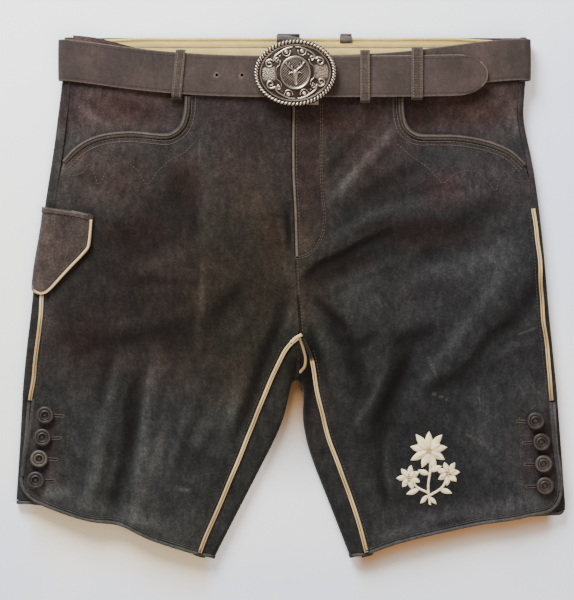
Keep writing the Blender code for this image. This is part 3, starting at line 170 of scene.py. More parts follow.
# Creases in the leather: how far each reaches to its left and right, how far it lifts (ridges) or
# sinks (troughs), how much painted light (on ridges) or painted shade (in troughs) lies along it,
# and its line
creases = (
    # left front and hip
    (20, 5, 0.9, 0.18, -90, 158, -86, 125, -83, 85, -84, 45, -87, 0, -92, -45),
    (8, 4, 0.8, 0.2, -84, 24, -87, -6, -90, -34, -93, -62),
    (6, 34, -0.7, -0.32, -100, 122, -95, 92, -92, 60),
    (22, 24, -1.3, -0.34, -164, 52, -132, 78, -106, 112),
    (14, 18, 1.3, 0.26, -212, 108, -180, 88, -150, 70),
    (10, 14, 0.7, 0.3, -214, 192, -192, 172, -164, 160),
    (13, 12, -0.6, -0.24, -186, 198, -150, 180, -114, 172),
    # left thigh
    (14, 13, -1.5, -0.5, -176, -42, -144, -38, -118, -34, -97, -26),
    (16, 12, 0.9, 0.26, -150, 24, -124, 33, -98, 38),
    (8, 8, -0.7, -0.26, -164, 10, -138, 13, -108, 12),
    (14, 12, -1.4, -0.52, -80, -38, -68, -14, -44, 8),
    (10, 9, 0.8, 0.22, -60, -42, -44, -24, -32, -6),
    # left leg
    (6, 11, -1.9, -0.75, -4, 6, -14, -34, -27, -66, -40, -106, -56, -142),
    (5, 5, 0.9, 0.35, 1, -10, -3, -36),
    (10, 14, 1.8, 0.46, -158, -56, -172, -86, -182, -130, -190, -180, -199, -214),
    (12, 8, -2, -0.6, -146, -70, -156, -108, -160, -150, -169, -190, -178, -222),
    (16, 7, 1.8, 0.48, -130, -54, -139, -100, -147, -150, -151, -200, -153, -230),
    (11, 10, -1.1, -0.26, -98, -66, -112, -106, -118, -152),
    (10, 10, 1, 0.22, -76, -58, -92, -100, -108, -140, -122, -196),
    (9, 10, -1.1, -0.26, -58, -98, -76, -138, -98, -178),
    (18, 10, 0.6, 0.2, -142, -186, -130, -226),
    (12, 14, 0.8, 0.14, -214, -44, -226, -86),
    # right front and thigh
    (7, 12, 2, 0.55, 34, 86, 62, 118, 106, 168),
    (9, 9, -1.2, -0.36, 34, 114, 60, 146, 88, 178),
    (13, 15, -1.4, -0.42, 54, 80, 90, 108, 130, 124),
    (7, 8, -2.6, -0.9, 10, 12, 28, 28, 48, 37, 72, 50, 100, 62),
    (9, 12, 1.3, 0.3, 30, 46, 58, 64, 92, 82, 142, 94, 194, 98),
    (24, 18, -1.6, -0.5, 78, 56, 130, 62, 176, 74, 214, 96),
    (20, 26, 1, 0.46, 44, 4, 92, 20, 140, 26, 190, 36, 232, 56),
    (7, 6, -0.8, -0.2, 30, -4, 58, 8, 90, 22, 114, 30),
    (13, 15, -1, -0.48, 250, 34, 238, 8, 222, -14, 200, -34),
    # right leg
    (8, 7, -1.7, -0.7, 24, -4, 40, -20, 57, -36),
    (8, 8, -1.1, -0.48, 52, -44, 68, -48, 86, -34),
    (12, 14, -1.3, -0.55, 92, -48, 114, -42, 144, -34),
    (8, 9, -1.9, -0.62, 119, -50, 106, -78, 92, -108, 80, -130),
    (6, 6, 1.5, 0.42, 96, -64, 82, -96, 60, -132),
    (9, 10, -1.9, -0.55, 226, -24, 196, -40, 172, -72, 132, -94),
    (14, 11, 1.7, 0.42, 216, 30, 190, -2, 164, -38, 138, -74, 116, -102),
    (8, 8, 1.1, 0.34, 240, -42, 206, -56, 180, -86),
    (6, 6, -0.8, -0.4, 85, -156, 88, -184, 95, -208),
    (4, 4, 0.5, 0.3, 97, -130, 93, -160, 98, -190),
    (12, 12, 0.7, 0.1, 58, -150, 72, -190, 86, -232),
    (5, 8, -0.9, -0.3, 22, -40, 32, -70, 40, -104),
    # fly, centre seam and right hip
    (5, 3, 0.5, 0.18, 31, 170, 33, 124, 35, 84),
    (4, 4, 0.45, 0.16, 5, 152, 16, 149, 27, 151),
    (4, 4, 0.45, 0.14, 5, 130, 16, 127, 28, 129),
    (4, 4, 0.5, 0.16, 6, 108, 16, 105, 28, 108),
    (4, 4, 0.5, 0.14, 7, 88, 16, 84, 28, 86),
    (2, 5, -0.8, -0.85, -3, 90, -2, 66, 0, 44),
    (3, 3, -0.4, -0.4, -4, 75, -24, 79),
    (9, 8, 0.6, 0.24, 6, 18, 9, -18, 10, -38),
    (7, 10, 0.6, 0.34, 226, 196, 217, 176, 222, 152),
    (12, 12, -0.5, -0.2, 196, 196, 160, 186, 128, 170),
    # painted light and shade only, with no lift: lighter or darker bands along the folds
    (17, 15, 0, 0.5, -256, -190, -226, -193, -192, -206, -152, -216, -116, -231, -92, -240),
    (17, 16, 0, 0.5, 78, -238, 112, -229, 152, -213, 202, -207, 256, -200),
    (13, 13, 0, 0.42, -92, -52, -112, -100, -127, -148, -137, -196),
    (10, 10, 0, -0.26, -74, -68, -94, -118, -112, -174),
    (18, 18, 0, 0.4, -46, -74, -62, -112, -92, -146),
    (10, 10, 0, -0.38, -146, -98, -152, -130, -154, -158),
    (11, 11, 0, -0.5, -172, -50, -181, -84, -184, -116),
    (16, 16, 0, -0.34, -214, -46, -178, -48, -134, -46, -84, -38),
    (15, 15, 0, -0.6, 14, 14, 38, 24, 62, 35, 88, 46),
    (14, 14, 0, -0.4, 82, 14, 112, 24, 142, 46),
    (16, 16, 0, -0.62, 34, -18, 54, -48, 70, -98),
    (19, 19, 0, -0.68, 108, -44, 104, -72, 92, -112, 80, -150),
    (12, 12, 0, -0.48, 156, -91, 178, -80, 204, -56),
)

# Broad patches: middle, half width and height, lighter or darker, and how red. The lighter and
# darker ones are partly the leather's own tone and partly painted light and shade of broad folds,
# with painted shade between the legs by the crotch
patches = (
    (-168, 180, 72, 40, 0.5, 0.85), (170, 182, 66, 44, 0.28, 0.85), (124, 174, 16, 22, -0.42, 1),
    (212, 186, 18, 30, 0.3, 0.7), (-176, 112, 70, 46, 0.22, 0.82), (-203, 132, 18, 12, 0.3, 1),
    (186, 116, 58, 42, 0.42, 0.5), (-46, 120, 62, 92, 0.18, 0.74), (16, 122, 30, 82, -0.03, 0.95),
    (14, 58, 9, 20, 0.4, 1), (74, 150, 60, 56, 0.16, 0.78), (-110, 20, 120, 70, -0.2, 0.7),
    (120, 10, 120, 66, -0.08, 0.14), (8, 4, 34, 34, 0.22, 0.66), (21, -62, 7, 24, -1.5, 0.2),
    (6, -72, 7, 14, -1.2, 0.5), (-150, -150, 110, 90, 0.16, 0), (150, -160, 110, 80, -0.12, 0),
    (-240, -150, 30, 64, 0.22, 0.45), (240, -150, 26, 56, 0.08, 0.45), (188, -138, 26, 60, 0.3, 0),
    (-115, 22, 24, 12, 0.3, 0.3), (-145, 52, 40, 17, -0.22, 0.3), (-142, 124, 24, 16, -0.24, 0.3),
    (-221, 112, 11, 36, 0.42, 0.6), (-237, -20, 9, 44, 0.28, 0.2), (234, 124, 9, 32, 0.34, 0.8),
    (124, 100, 42, 13, -0.22, 0.3), (140, 79, 42, 11, 0.24, 0.3), (72, -12, 22, 12, 0.32, 0.1),
    (140, -14, 50, 26, 0.2, 0.1), (204, 18, 40, 26, 0.3, 0.1), (232, -96, 20, 20, 0.36, 0.1),
    (224, -168, 17, 40, 0.4, 0), (15, -92, 7, 36, -1, 0), (26, -46, 8, 20, 0.42, 0.1),
    (-200, -38, 26, 24, -0.26, 0.1), (-57, -120, 8, 22, 0.3, 0), (-238, -189, 24, 9, 0.36, 0.2),
    (-96, -222, 22, 14, 0.26, 0), (88, -232, 20, 11, 0.22, 0), (250, -203, 15, 9, 0.36, 0.1),
    (-198, -42, 62, 46, 0, 0.8), (-148, 60, 50, 24, 0, 1.05), (-110, -58, 62, 42, 0, 0.7),
    (-54, -72, 40, 44, 0, 0.55), (-100, 112, 28, 40, 0, 1), (-18, 62, 28, 72, 0, 0.78),
    (-34, 2, 34, 34, 0, 0.66), (45, 168, 28, 20, 0, 1.1), (52, 34, 28, 14, 0, 1),
    (128, 60, 54, 16, 0, 0.95), (30, -112, 16, 50, 0, 0.4), (152, 104, 34, 26, 0, 0.85),
)

# Pale scratches in the nap: reach, strength and line
scratches = (
    (1.4, 0.8, -136, -177, -118, -184, -98, -190), (1.3, 0.55, -212, -140, -205, -156),
    (1.4, 0.7, 133, -60, 141, -78), (1.3, 0.8, 138, -96, 152, -101),
    (1.3, 0.6, 182, -88, 184, -112), (1.3, 0.7, 170, -135, 184, -142, 196, -151),
    (1.2, 0.35, 188, -168, 206, -178), (1.8, 0.6, 222, -38, 238, -32),
    (1.3, 0.4, -168, 152, -160, 139), (1.2, 0.35, -96, -140, -88, -150),
    (1.6, 0.5, -146, -206, -138, -224), (1.6, 0.4, -60, 132, -56, 136),
)


def napField(places):
    # the leather's lift in mm, shade (its own tone with painted light and shade of the folds),
    # warmth and scratches
    x, y = places[:, 0], places[:, 1]
    lift = 0.42 * rough(places, 46, 46, 0.3) + 0.16 * rough(places, 15, 15, 5.1)
    shade, warmth, mark = np.zeros((3, len(x)))
    for leftReach, rightReach, height, tone, *line in creases:
        line = smoothLine(line)
        reach = max(leftReach, rightReach)
        low, high = line.min(0) - reach, line.max(0) + reach
        inside = (x > low[0]) & (x < high[0]) & (y > low[1]) & (y < high[1])
        if inside.any():
            away, side, share = nearLine(x[inside], y[inside], line)
            part = eased(1 - away / np.where(side > 0, leftReach, rightReach), 0, 1)
            part *= np.clip(4.5 * share * (1 - share) + 0.12, 0, 1) ** 0.7
            lift[inside] += height * part
            shade[inside] += tone * part
    for px, py, rx, ry, tone, redness in patches:
        part = np.exp(-1.1 * (((x - px) / rx) ** 2 + ((y - py) / ry) ** 2))
        shade += tone * part
        warmth = np.maximum(warmth, redness * part)
    for reach, strength, *line in scratches:
        away, _, _ = nearLine(x, y, smoothLine(line))
        mark = np.maximum(mark, strength * eased(1 - away / reach, 0, 1))
    return lift * (1 - eased(y, 168, 192)), shade, warmth, mark


class Wire:
    # one socket in a material: sums and products of it add Math nodes
    def __init__(self, tree, socket=None):
        self.tree, self.socket = tree, socket

    def put(self, slot, value):
        if isinstance(value, Wire):
            self.tree.links.new(value.socket, slot)
        else:
            slot.default_value = value

    def node(self, kind, inputs=None, output=0, **settings):
        made = self.tree.nodes.new("ShaderNode" + kind)
        for name, value in settings.items():
            setattr(made, name, value)
        for name, value in (inputs or {}).items():
            self.put(made.inputs[name], value)
        return Wire(self.tree, made.outputs[output])

    def math(self, operation, *values):
        return self.node("Math", dict(enumerate(values)), operation=operation)

    def __add__(self, other):
        return self.math("ADD", self, other)

    __radd__ = __add__

    def __mul__(self, other):
        return self.math("MULTIPLY", self, other)

    def __sub__(self, other):
        return self.math("SUBTRACT", self, other)

    def __rsub__(self, other):
        return self.math("SUBTRACT", other, self)

    def clamped(self):
        return self.node("Clamp", {"Value": self})

    def rising(self, low, high):
        # 0 below low, 1 above high and smooth between them
        return self.node("MapRange", {"Value": self, "From Min": low, "From Max": high},
                         interpolation_type="SMOOTHSTEP")

    def mixed(self, first, second):
        # a colour between two, by this share
        return self.node("Mix", {0: self, 6: first, 7: second}, 2, data_type="RGBA")

    def scaled(self, share):
        return self.node("VectorMath", {0: self, "Scale": share}, operation="SCALE")

    def tinted(self, other):
        return self.node("VectorMath", {0: self, 1: other}, operation="MULTIPLY")

    def toned(self, colour, tone):
        # the colour, twice as bright for each unit of tone
        return self.node("VectorMath", {0: colour, "Scale": self.math("POWER", 2.0, tone)},
                         operation="SCALE")

    def along(self, axis):
        return self.node("SeparateXYZ", {"Vector": self}, axis)

    def named(self, *attributes):
        return [self.node("Attribute", None, "Fac", attribute_name=n) for n in attributes]

    def places(self, stretched=(1, 1, 1), turn=0.0):
        where = self.node("TexCoord", None, "Object")
        return self.node("Mapping",
                         {"Vector": where, "Rotation": (0, 0, turn), "Scale": stretched})

    def grain(self, where, size, detail, roughness=0.6):
        # noise with features of a size in mm
        return self.node("TexNoise", {"Vector": where, "Scale": 1000 / size, "Detail": detail,
                                      "Roughness": roughness}, "Fac")

    def cells(self, where, size):
        return self.node("TexVoronoi", {"Vector": where, "Scale": 1000 / size}, "Distance")

    def bump(self, strength, distance):
        return self.node("Bump", {"Height": self, "Strength": strength,
                                  "Distance": distance * mm})


def material(name, make, **fixed):
    # make returns what goes into the shader beside the fixed values
    made = bpy.data.materials.new(name)
    made.use_nodes = True
    wire = Wire(made.node_tree)
    wire.tree.nodes.clear()
    shader = wire.tree.nodes.new("ShaderNodeBsdfPrincipled")
    output = wire.tree.nodes.new("ShaderNodeOutputMaterial")
    wire.tree.links.new(shader.outputs[0], output.inputs["Surface"])
    for socket, value in (*fixed.items(), *make(wire).items()):
        wire.put(shader.inputs[socket.replace("_", " ")], value)
    return made


suedeLook = {"plain": (0.0111, 0.0114, 0.0112, 1), "warm": (0.0162, 0.0097, 0.0082, 1),
             "worn": (0.0760, 0.0700, 0.0630, 1), "contrast": 2.3, "nap": 1.0, "lit": True}
beltLook = {"plain": (0.0345, 0.0275, 0.0242, 1), "warm": (0.0376, 0.0244, 0.0226, 1),
            "worn": (0.1700, 0.1350, 0.1060, 1), "contrast": 1.1, "nap": 0.45, "lit": False}
trimLook = {"plain": (0.0240, 0.0202, 0.0178, 1), "warm": (0.0310, 0.0216, 0.0184, 1),
            "worn": (0.1450, 0.1200, 0.1000, 1), "contrast": 1.2, "nap": 0.7, "lit": False}


def paintedRoomLight(where):
    # painted light colour: bluer light to the right, more olive light left of the fly, and a
    # redder painted shade below the belt
    across, up = where.along("X"), where.along("Y")
    left, over = (across + 0.035) * 10.5, (up + 0.01) * 6.7
    cast = across.rising(0.04, 0.15).mixed((1, 1, 1, 1), (1.0, 0.985, 1.10, 1))
    cast = (1 - left * left - over * over).rising(0, 1).mixed(cast, (1, 1.01, 0.79, 1))
    return up.rising(0.145, 0.19).mixed(cast, (1.13, 0.965, 1.02, 1))


def suede(look, napSize=1.3, raised=0.35):
    def make(wire):
        where = wire.places()
        shade, warmth, mark, rub = wire.named("shade", "warmth", "mark", "rub")
        nap = wire.grain(where, napSize, 4, 0.72)
        strokes = wire.grain(wire.places((1, 0.42, 1), 0.5), 5.2, 3)
        flecks, cloud = wire.grain(where, 3.4, 3, 0.7), wire.grain(where, 34, 3, 0.55)
        grains = (nap - 0.5) * 3.2 + (strokes - 0.5) * 1.8 + (flecks - 0.5) * 1.9
        grains = grains + (wire.grain(where, 12, 3) - 0.5) * 1.2 + (cloud - 0.5) * 2.0
        tone = shade * look["contrast"] + grains * look["nap"]
        tone = tone + (wire.cells(where, 2.6) - 0.5) * 0.2
        # painted shade is also painted warmer, painted light cooler
        redness = (warmth - shade * 0.3 + (cloud - 0.5) * 0.16).clamped()
        colour = redness.mixed(look["plain"], look["warm"])
        # the painted colour of the room's light on the body leather
        if look["lit"]:
            colour = colour.tinted(paintedRoomLight(where))
        # pale scratches and rubbed wear, with the painted highlight that rub carries on up-facing
        # crests
        paleWearAndHighlight = (mark * (nap - 0.28) * 2.2 + rub * (0.35 + (nap - 0.5) * 1.6)).clamped()
        height = nap + strokes * 0.8 + flecks * 0.8 + mark * 0.5
        return {"Base Color": paleWearAndHighlight.mixed(wire.toned(colour, tone), look["worn"]),
                "Roughness": (0.98 - nap * 0.12).clamped(), "Normal": height.bump(0.7, raised)}

    return make


def creamLeather(wire):
    where = wire.places()
    fine, broad = wire.grain(where, 0.8, 3), wire.grain(where, 14, 2, 0.5)
    groove, dirtAndShade = wire.named("groove", "shade")
    # darker and browner in the painted shade of the grooves, and where the shade attribute is low:
    # dirt and painted shade of folds
    tone = (fine - 0.5) * 0.4 + (broad - 0.5) * 0.5 + dirtAndShade * 0.8 - groove * 1.1
    colour = (groove * 0.9 + (broad - 0.4) * 0.4 - dirtAndShade * 1.6).clamped().mixed(
        (0.440, 0.325, 0.160, 1), (0.200, 0.115, 0.048, 1))
    return {"Base Color": wire.toned(colour, tone), "Normal": (fine - groove * 0.6).bump(0.5, 0.2)}


def liningCloth(wire):
    where = wire.places()

    def threads(direction, scale, distortion, detail):
        return wire.node("TexWave", {"Vector": where, "Scale": scale, "Distortion": distortion,
                                     "Detail": detail}, "Fac", bands_direction=direction)

    weave = threads("X", 480, 1.2, 1) * threads("Y", 560, 1.2, 1)
    edge, shade = wire.named("rub", "shade")
    colour = edge.mixed((0.505, 0.365, 0.132, 1), (0.490, 0.340, 0.100, 1))
    tone = (weave - 0.4) * 0.5 + (wire.grain(where, 18, 3) - 0.5) * 0.9 + shade
    tone = tone + (threads("X", 190, 2, 2) - 0.5) * (0.15 + edge * 0.8)
    return {"Base Color": wire.toned(colour, tone), "Normal": weave.bump(0.6, 0.25)}


def sewingThread(colour):
    def make(wire):
        where = wire.places()
        twist, broad = wire.grain(where, 0.5, 2), wire.grain(where, 9, 2, 0.5)
        return {"Base Color": wire.toned(colour, (twist - 0.5) * 1.0 + (broad - 0.5) * 1.4),
                "Normal": twist.bump(0.5, 0.1)}

    return make


def horn(wire):
    where = wire.places((1, 1, 3))
    grain, fine = wire.grain(where, 7, 4), wire.grain(where, 0.9, 2)
    worn, shadedHollow = wire.named("rub", "groove")
    flaked = wire.cells(wire.places(), 1.5).rising(0.2, 0.75)
    pale = (worn * (0.15 + grain * 0.5 + flaked * worn * 0.9)).clamped()
    colour = grain.rising(0.35, 0.72).mixed((0.0070, 0.0046, 0.0045, 1),
                                            (0.0185, 0.0125, 0.0120, 1))
    # near black in the button's middle hollow: painted shade
    colour = (shadedHollow * 0.85).mixed(pale.mixed(colour, (0.125, 0.104, 0.088, 1)),
                                   (0.0030, 0.0022, 0.0020, 1))
    return {"Base Color": colour, "Roughness": (0.36 + fine * 0.3).clamped(),
            "Normal": fine.bump(0.25, 0.12)}


def oldSilver(wire):
    where = wire.places()
    fine, patch, pits = wire.grain(where, 0.7, 3), wire.grain(where, 6, 3), wire.cells(where, 1.15)
    high, stipple = wire.named("rub", "mark")
    bright = (high + (patch - 0.5) * 0.3 - stipple * (0.85 - pits * 1.5)).clamped()
    return {"Base Color": bright.mixed((0.018, 0.014, 0.0115, 1), (0.370, 0.308, 0.255, 1)),
            "Roughness": (0.52 - bright * 0.22 + (fine - 0.5) * 0.2).clamped(),
            "Normal": (fine * 0.3 + stipple * pits * 1.6).bump(0.6, 0.35)}


def paintedGapShade(wire):
    # near black: painted shade in openings and holes
    grain = wire.grain(wire.places(), 1.2, 2)
    return {"Base Color": grain.mixed((0.0060, 0.0045, 0.0040, 1), (0.0160, 0.0120, 0.0105, 1))}


finishes = {  # each with its slot
    key: (material(name, make, Roughness=roughness, Metallic=metallic, Specular_IOR_Level=gloss,
                   Sheen_Weight=sheen, Sheen_Roughness=0.5), slot)
    for key, slot, name, make, roughness, gloss, sheen, metallic in (
        ("suede", "suede", "brown-grey suede", suede(suedeLook), 0.5, 0.08, 0.06, 0),
        ("belt", "belt_leather", "belt nubuck", suede(beltLook, 1.1, 0.2), 0.5, 0.14, 0.05, 0),
        ("trim", "trim_leather", "rolled suede trim", suede(trimLook, 1.1, 0.28), 0.5, 0.1,
         0.05, 0),
        ("cream", "cream_leather", "cream piping leather", creamLeather, 0.72, 0.3, 0, 0),
        ("lining", "lining_cloth", "lining cloth", liningCloth, 0.95, 0.1, 0, 0),
        ("brownThread", "trim_leather", "brown thread", sewingThread((0.060, 0.046, 0.037)),
         0.8, 0.15, 0, 0),
        ("holeThread", "trim_leather", "worn brown thread", sewingThread((0.042, 0.036, 0.032)),
         0.8, 0.1, 0, 0),
        ("darkThread", "belt_leather", "dark thread", sewingThread((0.034, 0.025, 0.021)),
         0.8, 0.15, 0, 0),
        ("paleThread", "trim_leather", "pale thread", sewingThread((0.150, 0.112, 0.080)),
         0.8, 0.15, 0, 0),
        ("creamThread", "cream_leather", "cream thread", sewingThread((0.610, 0.535, 0.345)),
         0.6, 0.5, 0.2, 0),
        ("goldThread", "lining_cloth", "straw thread", sewingThread((0.400, 0.300, 0.130)),
         0.65, 0.5, 0, 0),
        ("horn", "horn", "turned horn", horn, 0.5, 0.28, 0, 0),
        ("silver", "old_silver", "old silver", oldSilver, 0.5, 0.5, 0, 1),
        ("gap", "suede", "dark gap", paintedGapShade, 1, 0.05, 0, 0),
    )
}
print("materials made:", len(finishes))


# Meshes in and out of numpy, in mm on the layout
pieces = {}


def pointsOf(shape, what="co"):
    values = np.empty(len(shape.data.vertices) * 3)
    shape.data.vertices.foreach_get(what, values)
    return values.reshape(-1, 3)


def layoutPoints(shape):
    return pointsOf(shape) / mm - layoutShift


def meshLists(shape):
    return pointsOf(shape) / mm, [list(f.vertices) for f in shape.data.polygons]


def setPoints(shape, places):
    shape.data.vertices.foreach_set("co", ((places + layoutShift) * mm).ravel())
    shape.data.update()


def fromFaces(name, places, faces):
    mesh = bpy.data.meshes.new(name)
    mesh.from_pydata(((np.asarray(places, float) + layoutShift) * mm).tolist(), [], faces)
    mesh.validate()
    shape = bpy.data.objects.new(name, mesh)
    bpy.context.scene.collection.objects.link(shape)
    return shape


def gathered(name, parts):
    # parts, each with its points and faces, as one mesh
    places, faces = [], []
    for part, itsFaces in parts:
        start = len(places)
        places.extend(part)
        faces.extend([start + v for v in f] for f in itsFaces)
    return fromFaces(name, places, faces)


def gridFaces(rows, columns, start=0, flip=False, closed=True, wrap=False):
    # faces between rows of points; closed joins each row's ends, wrap the last row to the first
    faces = []
    for i in range(rows if wrap else rows - 1):
        for j in range(columns if closed else columns - 1):
            a, b = i * columns + j, i * columns + (j + 1) % columns
            c, d = ((k + columns) % (rows * columns) for k in (b, a))
            faces.append([start + k for k in ((a, d, c, b) if flip else (a, b, c, d))])
    return faces


def marked(shape, **marks):
    # the attributes that the materials read, point by point
    for name, values in marks.items():
        known = shape.data.attributes.get(name)
        layer = known or shape.data.attributes.new(name, "FLOAT", "POINT")
        full = np.broadcast_to(np.asarray(values, np.float32), (len(shape.data.vertices),))
        layer.data.foreach_set("value", np.ascontiguousarray(full))
    return shape


def only(shape):
    bpy.ops.object.select_all(action="DESELECT")
    shape.select_set(True)
    bpy.context.view_layer.objects.active = shape


@contextmanager
def editing(evened=False):
    # edit mode with everything selected; evened turns all faces outwards at the end
    bpy.ops.object.mode_set(mode="EDIT")
    bpy.ops.mesh.select_all(action="SELECT")
    yield
    if evened:
        bpy.ops.mesh.select_all(action="SELECT")
        bpy.ops.mesh.normals_make_consistent(inside=False)
    bpy.ops.object.mode_set(mode="OBJECT")


def drawnOut(by, scale, centre=(0, 0, 0)):
    # the selection extruded, then scaled about a point
    bpy.ops.mesh.extrude_region_move(TRANSFORM_OT_translate={"value": by})
    bpy.ops.transform.resize(value=scale, center_override=centre)


def applied(shape, kind, **settings):
    only(shape)
    modifier = shape.modifiers.new(kind.lower(), kind)
    for name, value in settings.items():
        setattr(modifier, name, value)
    bpy.ops.object.modifier_apply(modifier=modifier.name)
    return shape


def subdivided(shape, levels):
    return applied(shape, "SUBSURF", levels=levels, render_levels=levels)


def finished(shape, finish, *nodes, slot=None, degrees=40):
    # smoothed, coloured and handed over in place of its nodes
    if degrees:
        only(shape)
        bpy.ops.object.shade_smooth_by_angle(angle=math.radians(degrees))
    look, itsSlot = finishes[finish]
    shape.data.materials.clear()
    shape.data.materials.append(look)
    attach(shape, "root")
    slot or itsSlot
    if nodes:
        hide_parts(*nodes)
    pieces[nodes[0] if nodes else shape.name] = shape


def plainCopy(node, name):
    # a CAD node's own form as a clean mesh of mostly four-sided faces
    bm = bmesh.new()
    bm.from_mesh(frame["nodes"][node].data)
    bmesh.ops.remove_doubles(bm, verts=bm.verts, dist=1e-6)
    bmesh.ops.join_triangles(bm, faces=bm.faces, angle_face_threshold=0.7,
                             angle_shape_threshold=1.05)
    bm.verts.index_update()
    places = np.array([v.co for v in bm.verts]) / mm - layoutShift
    faces = [[v.index for v in f.verts] for f in bm.faces]
    bm.free()
    return fromFaces(name, places, faces)


def refined(shape, levels, degrees=50):
    # subdivided smooth, with its cut edges kept
    bm = bmesh.new()
    bm.from_mesh(shape.data)
    crease = bm.edges.layers.float.new("crease_edge")
    for e in bm.edges:
        if len(e.link_faces) == 2 and e.calc_face_angle(0) > math.radians(degrees):
            e[crease] = 1.0
    bm.to_mesh(shape.data)
    bm.free()
    return subdivided(shape, levels)


def treeOf(*shapes):
    places, faces = [], []
    for shape in shapes:
        start = len(places)
        places.extend(layoutPoints(shape).tolist())
        faces.extend([start + v for v in f.vertices] for f in shape.data.polygons)
    return BVHTree.FromPolygons(places, faces)


def nearTree(places):
    tree = KDTree(len(places))
    for i, place in enumerate(places):
        tree.insert(place, i)
    tree.balance()
    return tree


def topAt(tree, x, y):
    # the highest surface at a place: its height and which way it faces
    spot, normal, _, _ = tree.ray_cast((x, y, 60), (0, 0, -1))
    return (None, None) if spot is None else (spot.z, normal)


# Leather and cloth: each cut piece on its solid's own form, with the listed creases laid in.
# How finely it's divided, its flat size and area in metres, and what it lies on.
cloth = {
    "front_left": (3, (0.272, 0.452), 0.0919, "back_left"),
    "front_right": (3, (0.262, 0.456), 0.0919, "back_right"),
    "back_left": (2, (0.312, 0.462), 0.1208, None),
    "back_right": (2, (0.304, 0.462), 0.1162, None),
    "hip_left": (3, (0.132, 0.086), 0.00735, "back_left"),
    "hip_right": (3, (0.132, 0.088), 0.00764, "back_right"),
    "waistband_back": (3, (0.462, 0.048), 0.0210, None),
    "waistband_front_left": (3, (0.218, 0.054), 0.00768, "waistband_back"),
    "waistband_front_right": (3, (0.224, 0.052), 0.00769, "waistband_back"),
    "knife_pocket": (3, (0.062, 0.088), 0.0036, "front_left"),
    "waistband_lining": (0, (0.424, 0.054), 0.0225, "waistband_back"),
}
sides = ("left", "right")
hems = [f"hem_{part}_{side}" for part in ("front", "back") for side in sides]
trims = {name: (finish, levels) for names, finish, levels in (
    (hems, "suede", 2), (["knife_pocket_hem"], "suede", 3),
    (["pocket_welt_left", "pocket_welt_right"], "trim", 3), (["fly_edge"], "trim", 2),
    ([f"piping_{seam}_{side}" for seam in ("side", "inseam") for side in sides], "cream", 3),
    (["piping_seat"], "cream", 2), (["knife_pocket_piping"], "cream", 3),
) for name in names}
sewnOn = {
    "front_left": ("pocket_welt_left", "piping_side_left", "piping_inseam_left",
                   "hem_front_left", "knife_pocket_piping"),
    "front_right": ("pocket_welt_right", "fly_edge", "piping_side_right",
                    "piping_inseam_right", "hem_front_right"),
    "back_left": ("hem_back_left", "piping_seat"),
    "back_right": ("hem_back_right",),
    "knife_pocket": ("knife_pocket_hem",),
}
letOut = {"corner": (266.8, -213.2), "radius": 7.0, "by": 2.6}


def shaped(name, places):
    # the right front's lower corner let out, and the one behind it rounded
    x, y = places[:, 0].copy(), places[:, 1].copy()
    if name in ("front_right", "hem_front_right"):
        places[:, 0] += letOut["by"] * eased(x, 238, 252) * eased(-y, 148, 178)
        places[:, 1] -= letOut["by"] * eased(x, 230, 250) * eased(-y, 186, 206)
    if name in ("back_right", "hem_back_right"):
        (cornerX, cornerY), radius = letOut["corner"], letOut["radius"]
        u, v = (x - cornerX) / radius + 1, (cornerY - y) / radius + 1
        near = (u > 0.02) & (v > 0.02)
        scale = np.where(near, np.maximum(u, v) / np.maximum(np.hypot(u, v), 0.02), 1.0)
        places[:, 0] = np.where(near, cornerX - radius + u * scale * radius, x)
        places[:, 1] = np.where(near, cornerY + radius - v * scale * radius, y)
    return places


for name in list(cloth)[:9]:
    # the upper leather takes the creases and the lower stays flat on the table
    shape = refined(plainCopy(name, name + "_leather"), cloth[name][0])
    places = layoutPoints(shape)
    lift, shade, warmth, mark = napField(places)
    upper = eased(places[:, 2], 2.0, 10.0)
    places[:, 2] += lift * upper
    setPoints(shape, shaped(name, places))
    marked(shape, shade=shade * (0.35 + 0.65 * upper), warmth=warmth, mark=mark * upper, rub=0)
    if name.startswith("waistband"):  # the belt's own brown above it, in shade below
        high = eased(places[:, 1], 228, 234) if "front" in name else 1.0
        marked(shape, shade=0.62 * high, warmth=0.8)
    finished(shape, "suede", name)
print("panels creased:", len(pieces))

body = list(cloth)[:6]
plain = [plainCopy(name, name + "_plain") for name in body]
plainTree, bodyTree = treeOf(*plain), treeOf(*(pieces[name] for name in body))
for shape in plain:
    bpy.data.objects.remove(shape)


def settle(places, reach=9.0, most=3.2):
    # how far the creased leather lies from the plain form below each point
    known, rises = [], []
    for x, y, _ in places:
        before, now = topAt(plainTree, x, y)[0], topAt(bodyTree, x, y)[0]
        if before is not None and now is not None and abs(now - before) < most:
            known.append((x, y, 0.0))
            rises.append(now - before)
    tree = nearTree(known)
    out = np.zeros(len(places))
    for i, (x, y, _) in enumerate(places):
        near = tree.find_range((x, y, 0.0), reach)
        if near:
            weights = np.array([1.02 - away / reach for _, _, away in near])
            out[i] = (weights * [rises[j] for _, j, _ in near]).sum() / weights.sum()
        elif known:
            out[i] = rises[tree.find((x, y, 0.0))[1]]
    return out


def sewnTrim(node, levels):
    # a trim or pocket, moved with the leather that it's sewn to
    shape = plainCopy(node, node + "_sewn")
    places = layoutPoints(shape)
    places[:, 2] += settle(places) * eased(places[:, 2], 2.0, 10.0)
    setPoints(shape, places)
    return refined(shape, levels)


def facingUp(shape, low, high):
    return eased(pointsOf(shape, "normal")[:, 2], low, high)


def dressed(shape, rub=0.0, crestWearAndHighlight=0.0):
    # the leather's tone, with a lighter up-facing crest: rubbed wear and painted highlight
    places = layoutPoints(shape)
    _, shade, warmth, mark = napField(places)
    marked(shape, shade=shade * 0.5, warmth=warmth, mark=mark * 0.5,
           rub=rub + crestWearAndHighlight * facingUp(shape, 0.80, 1.0))
    return places


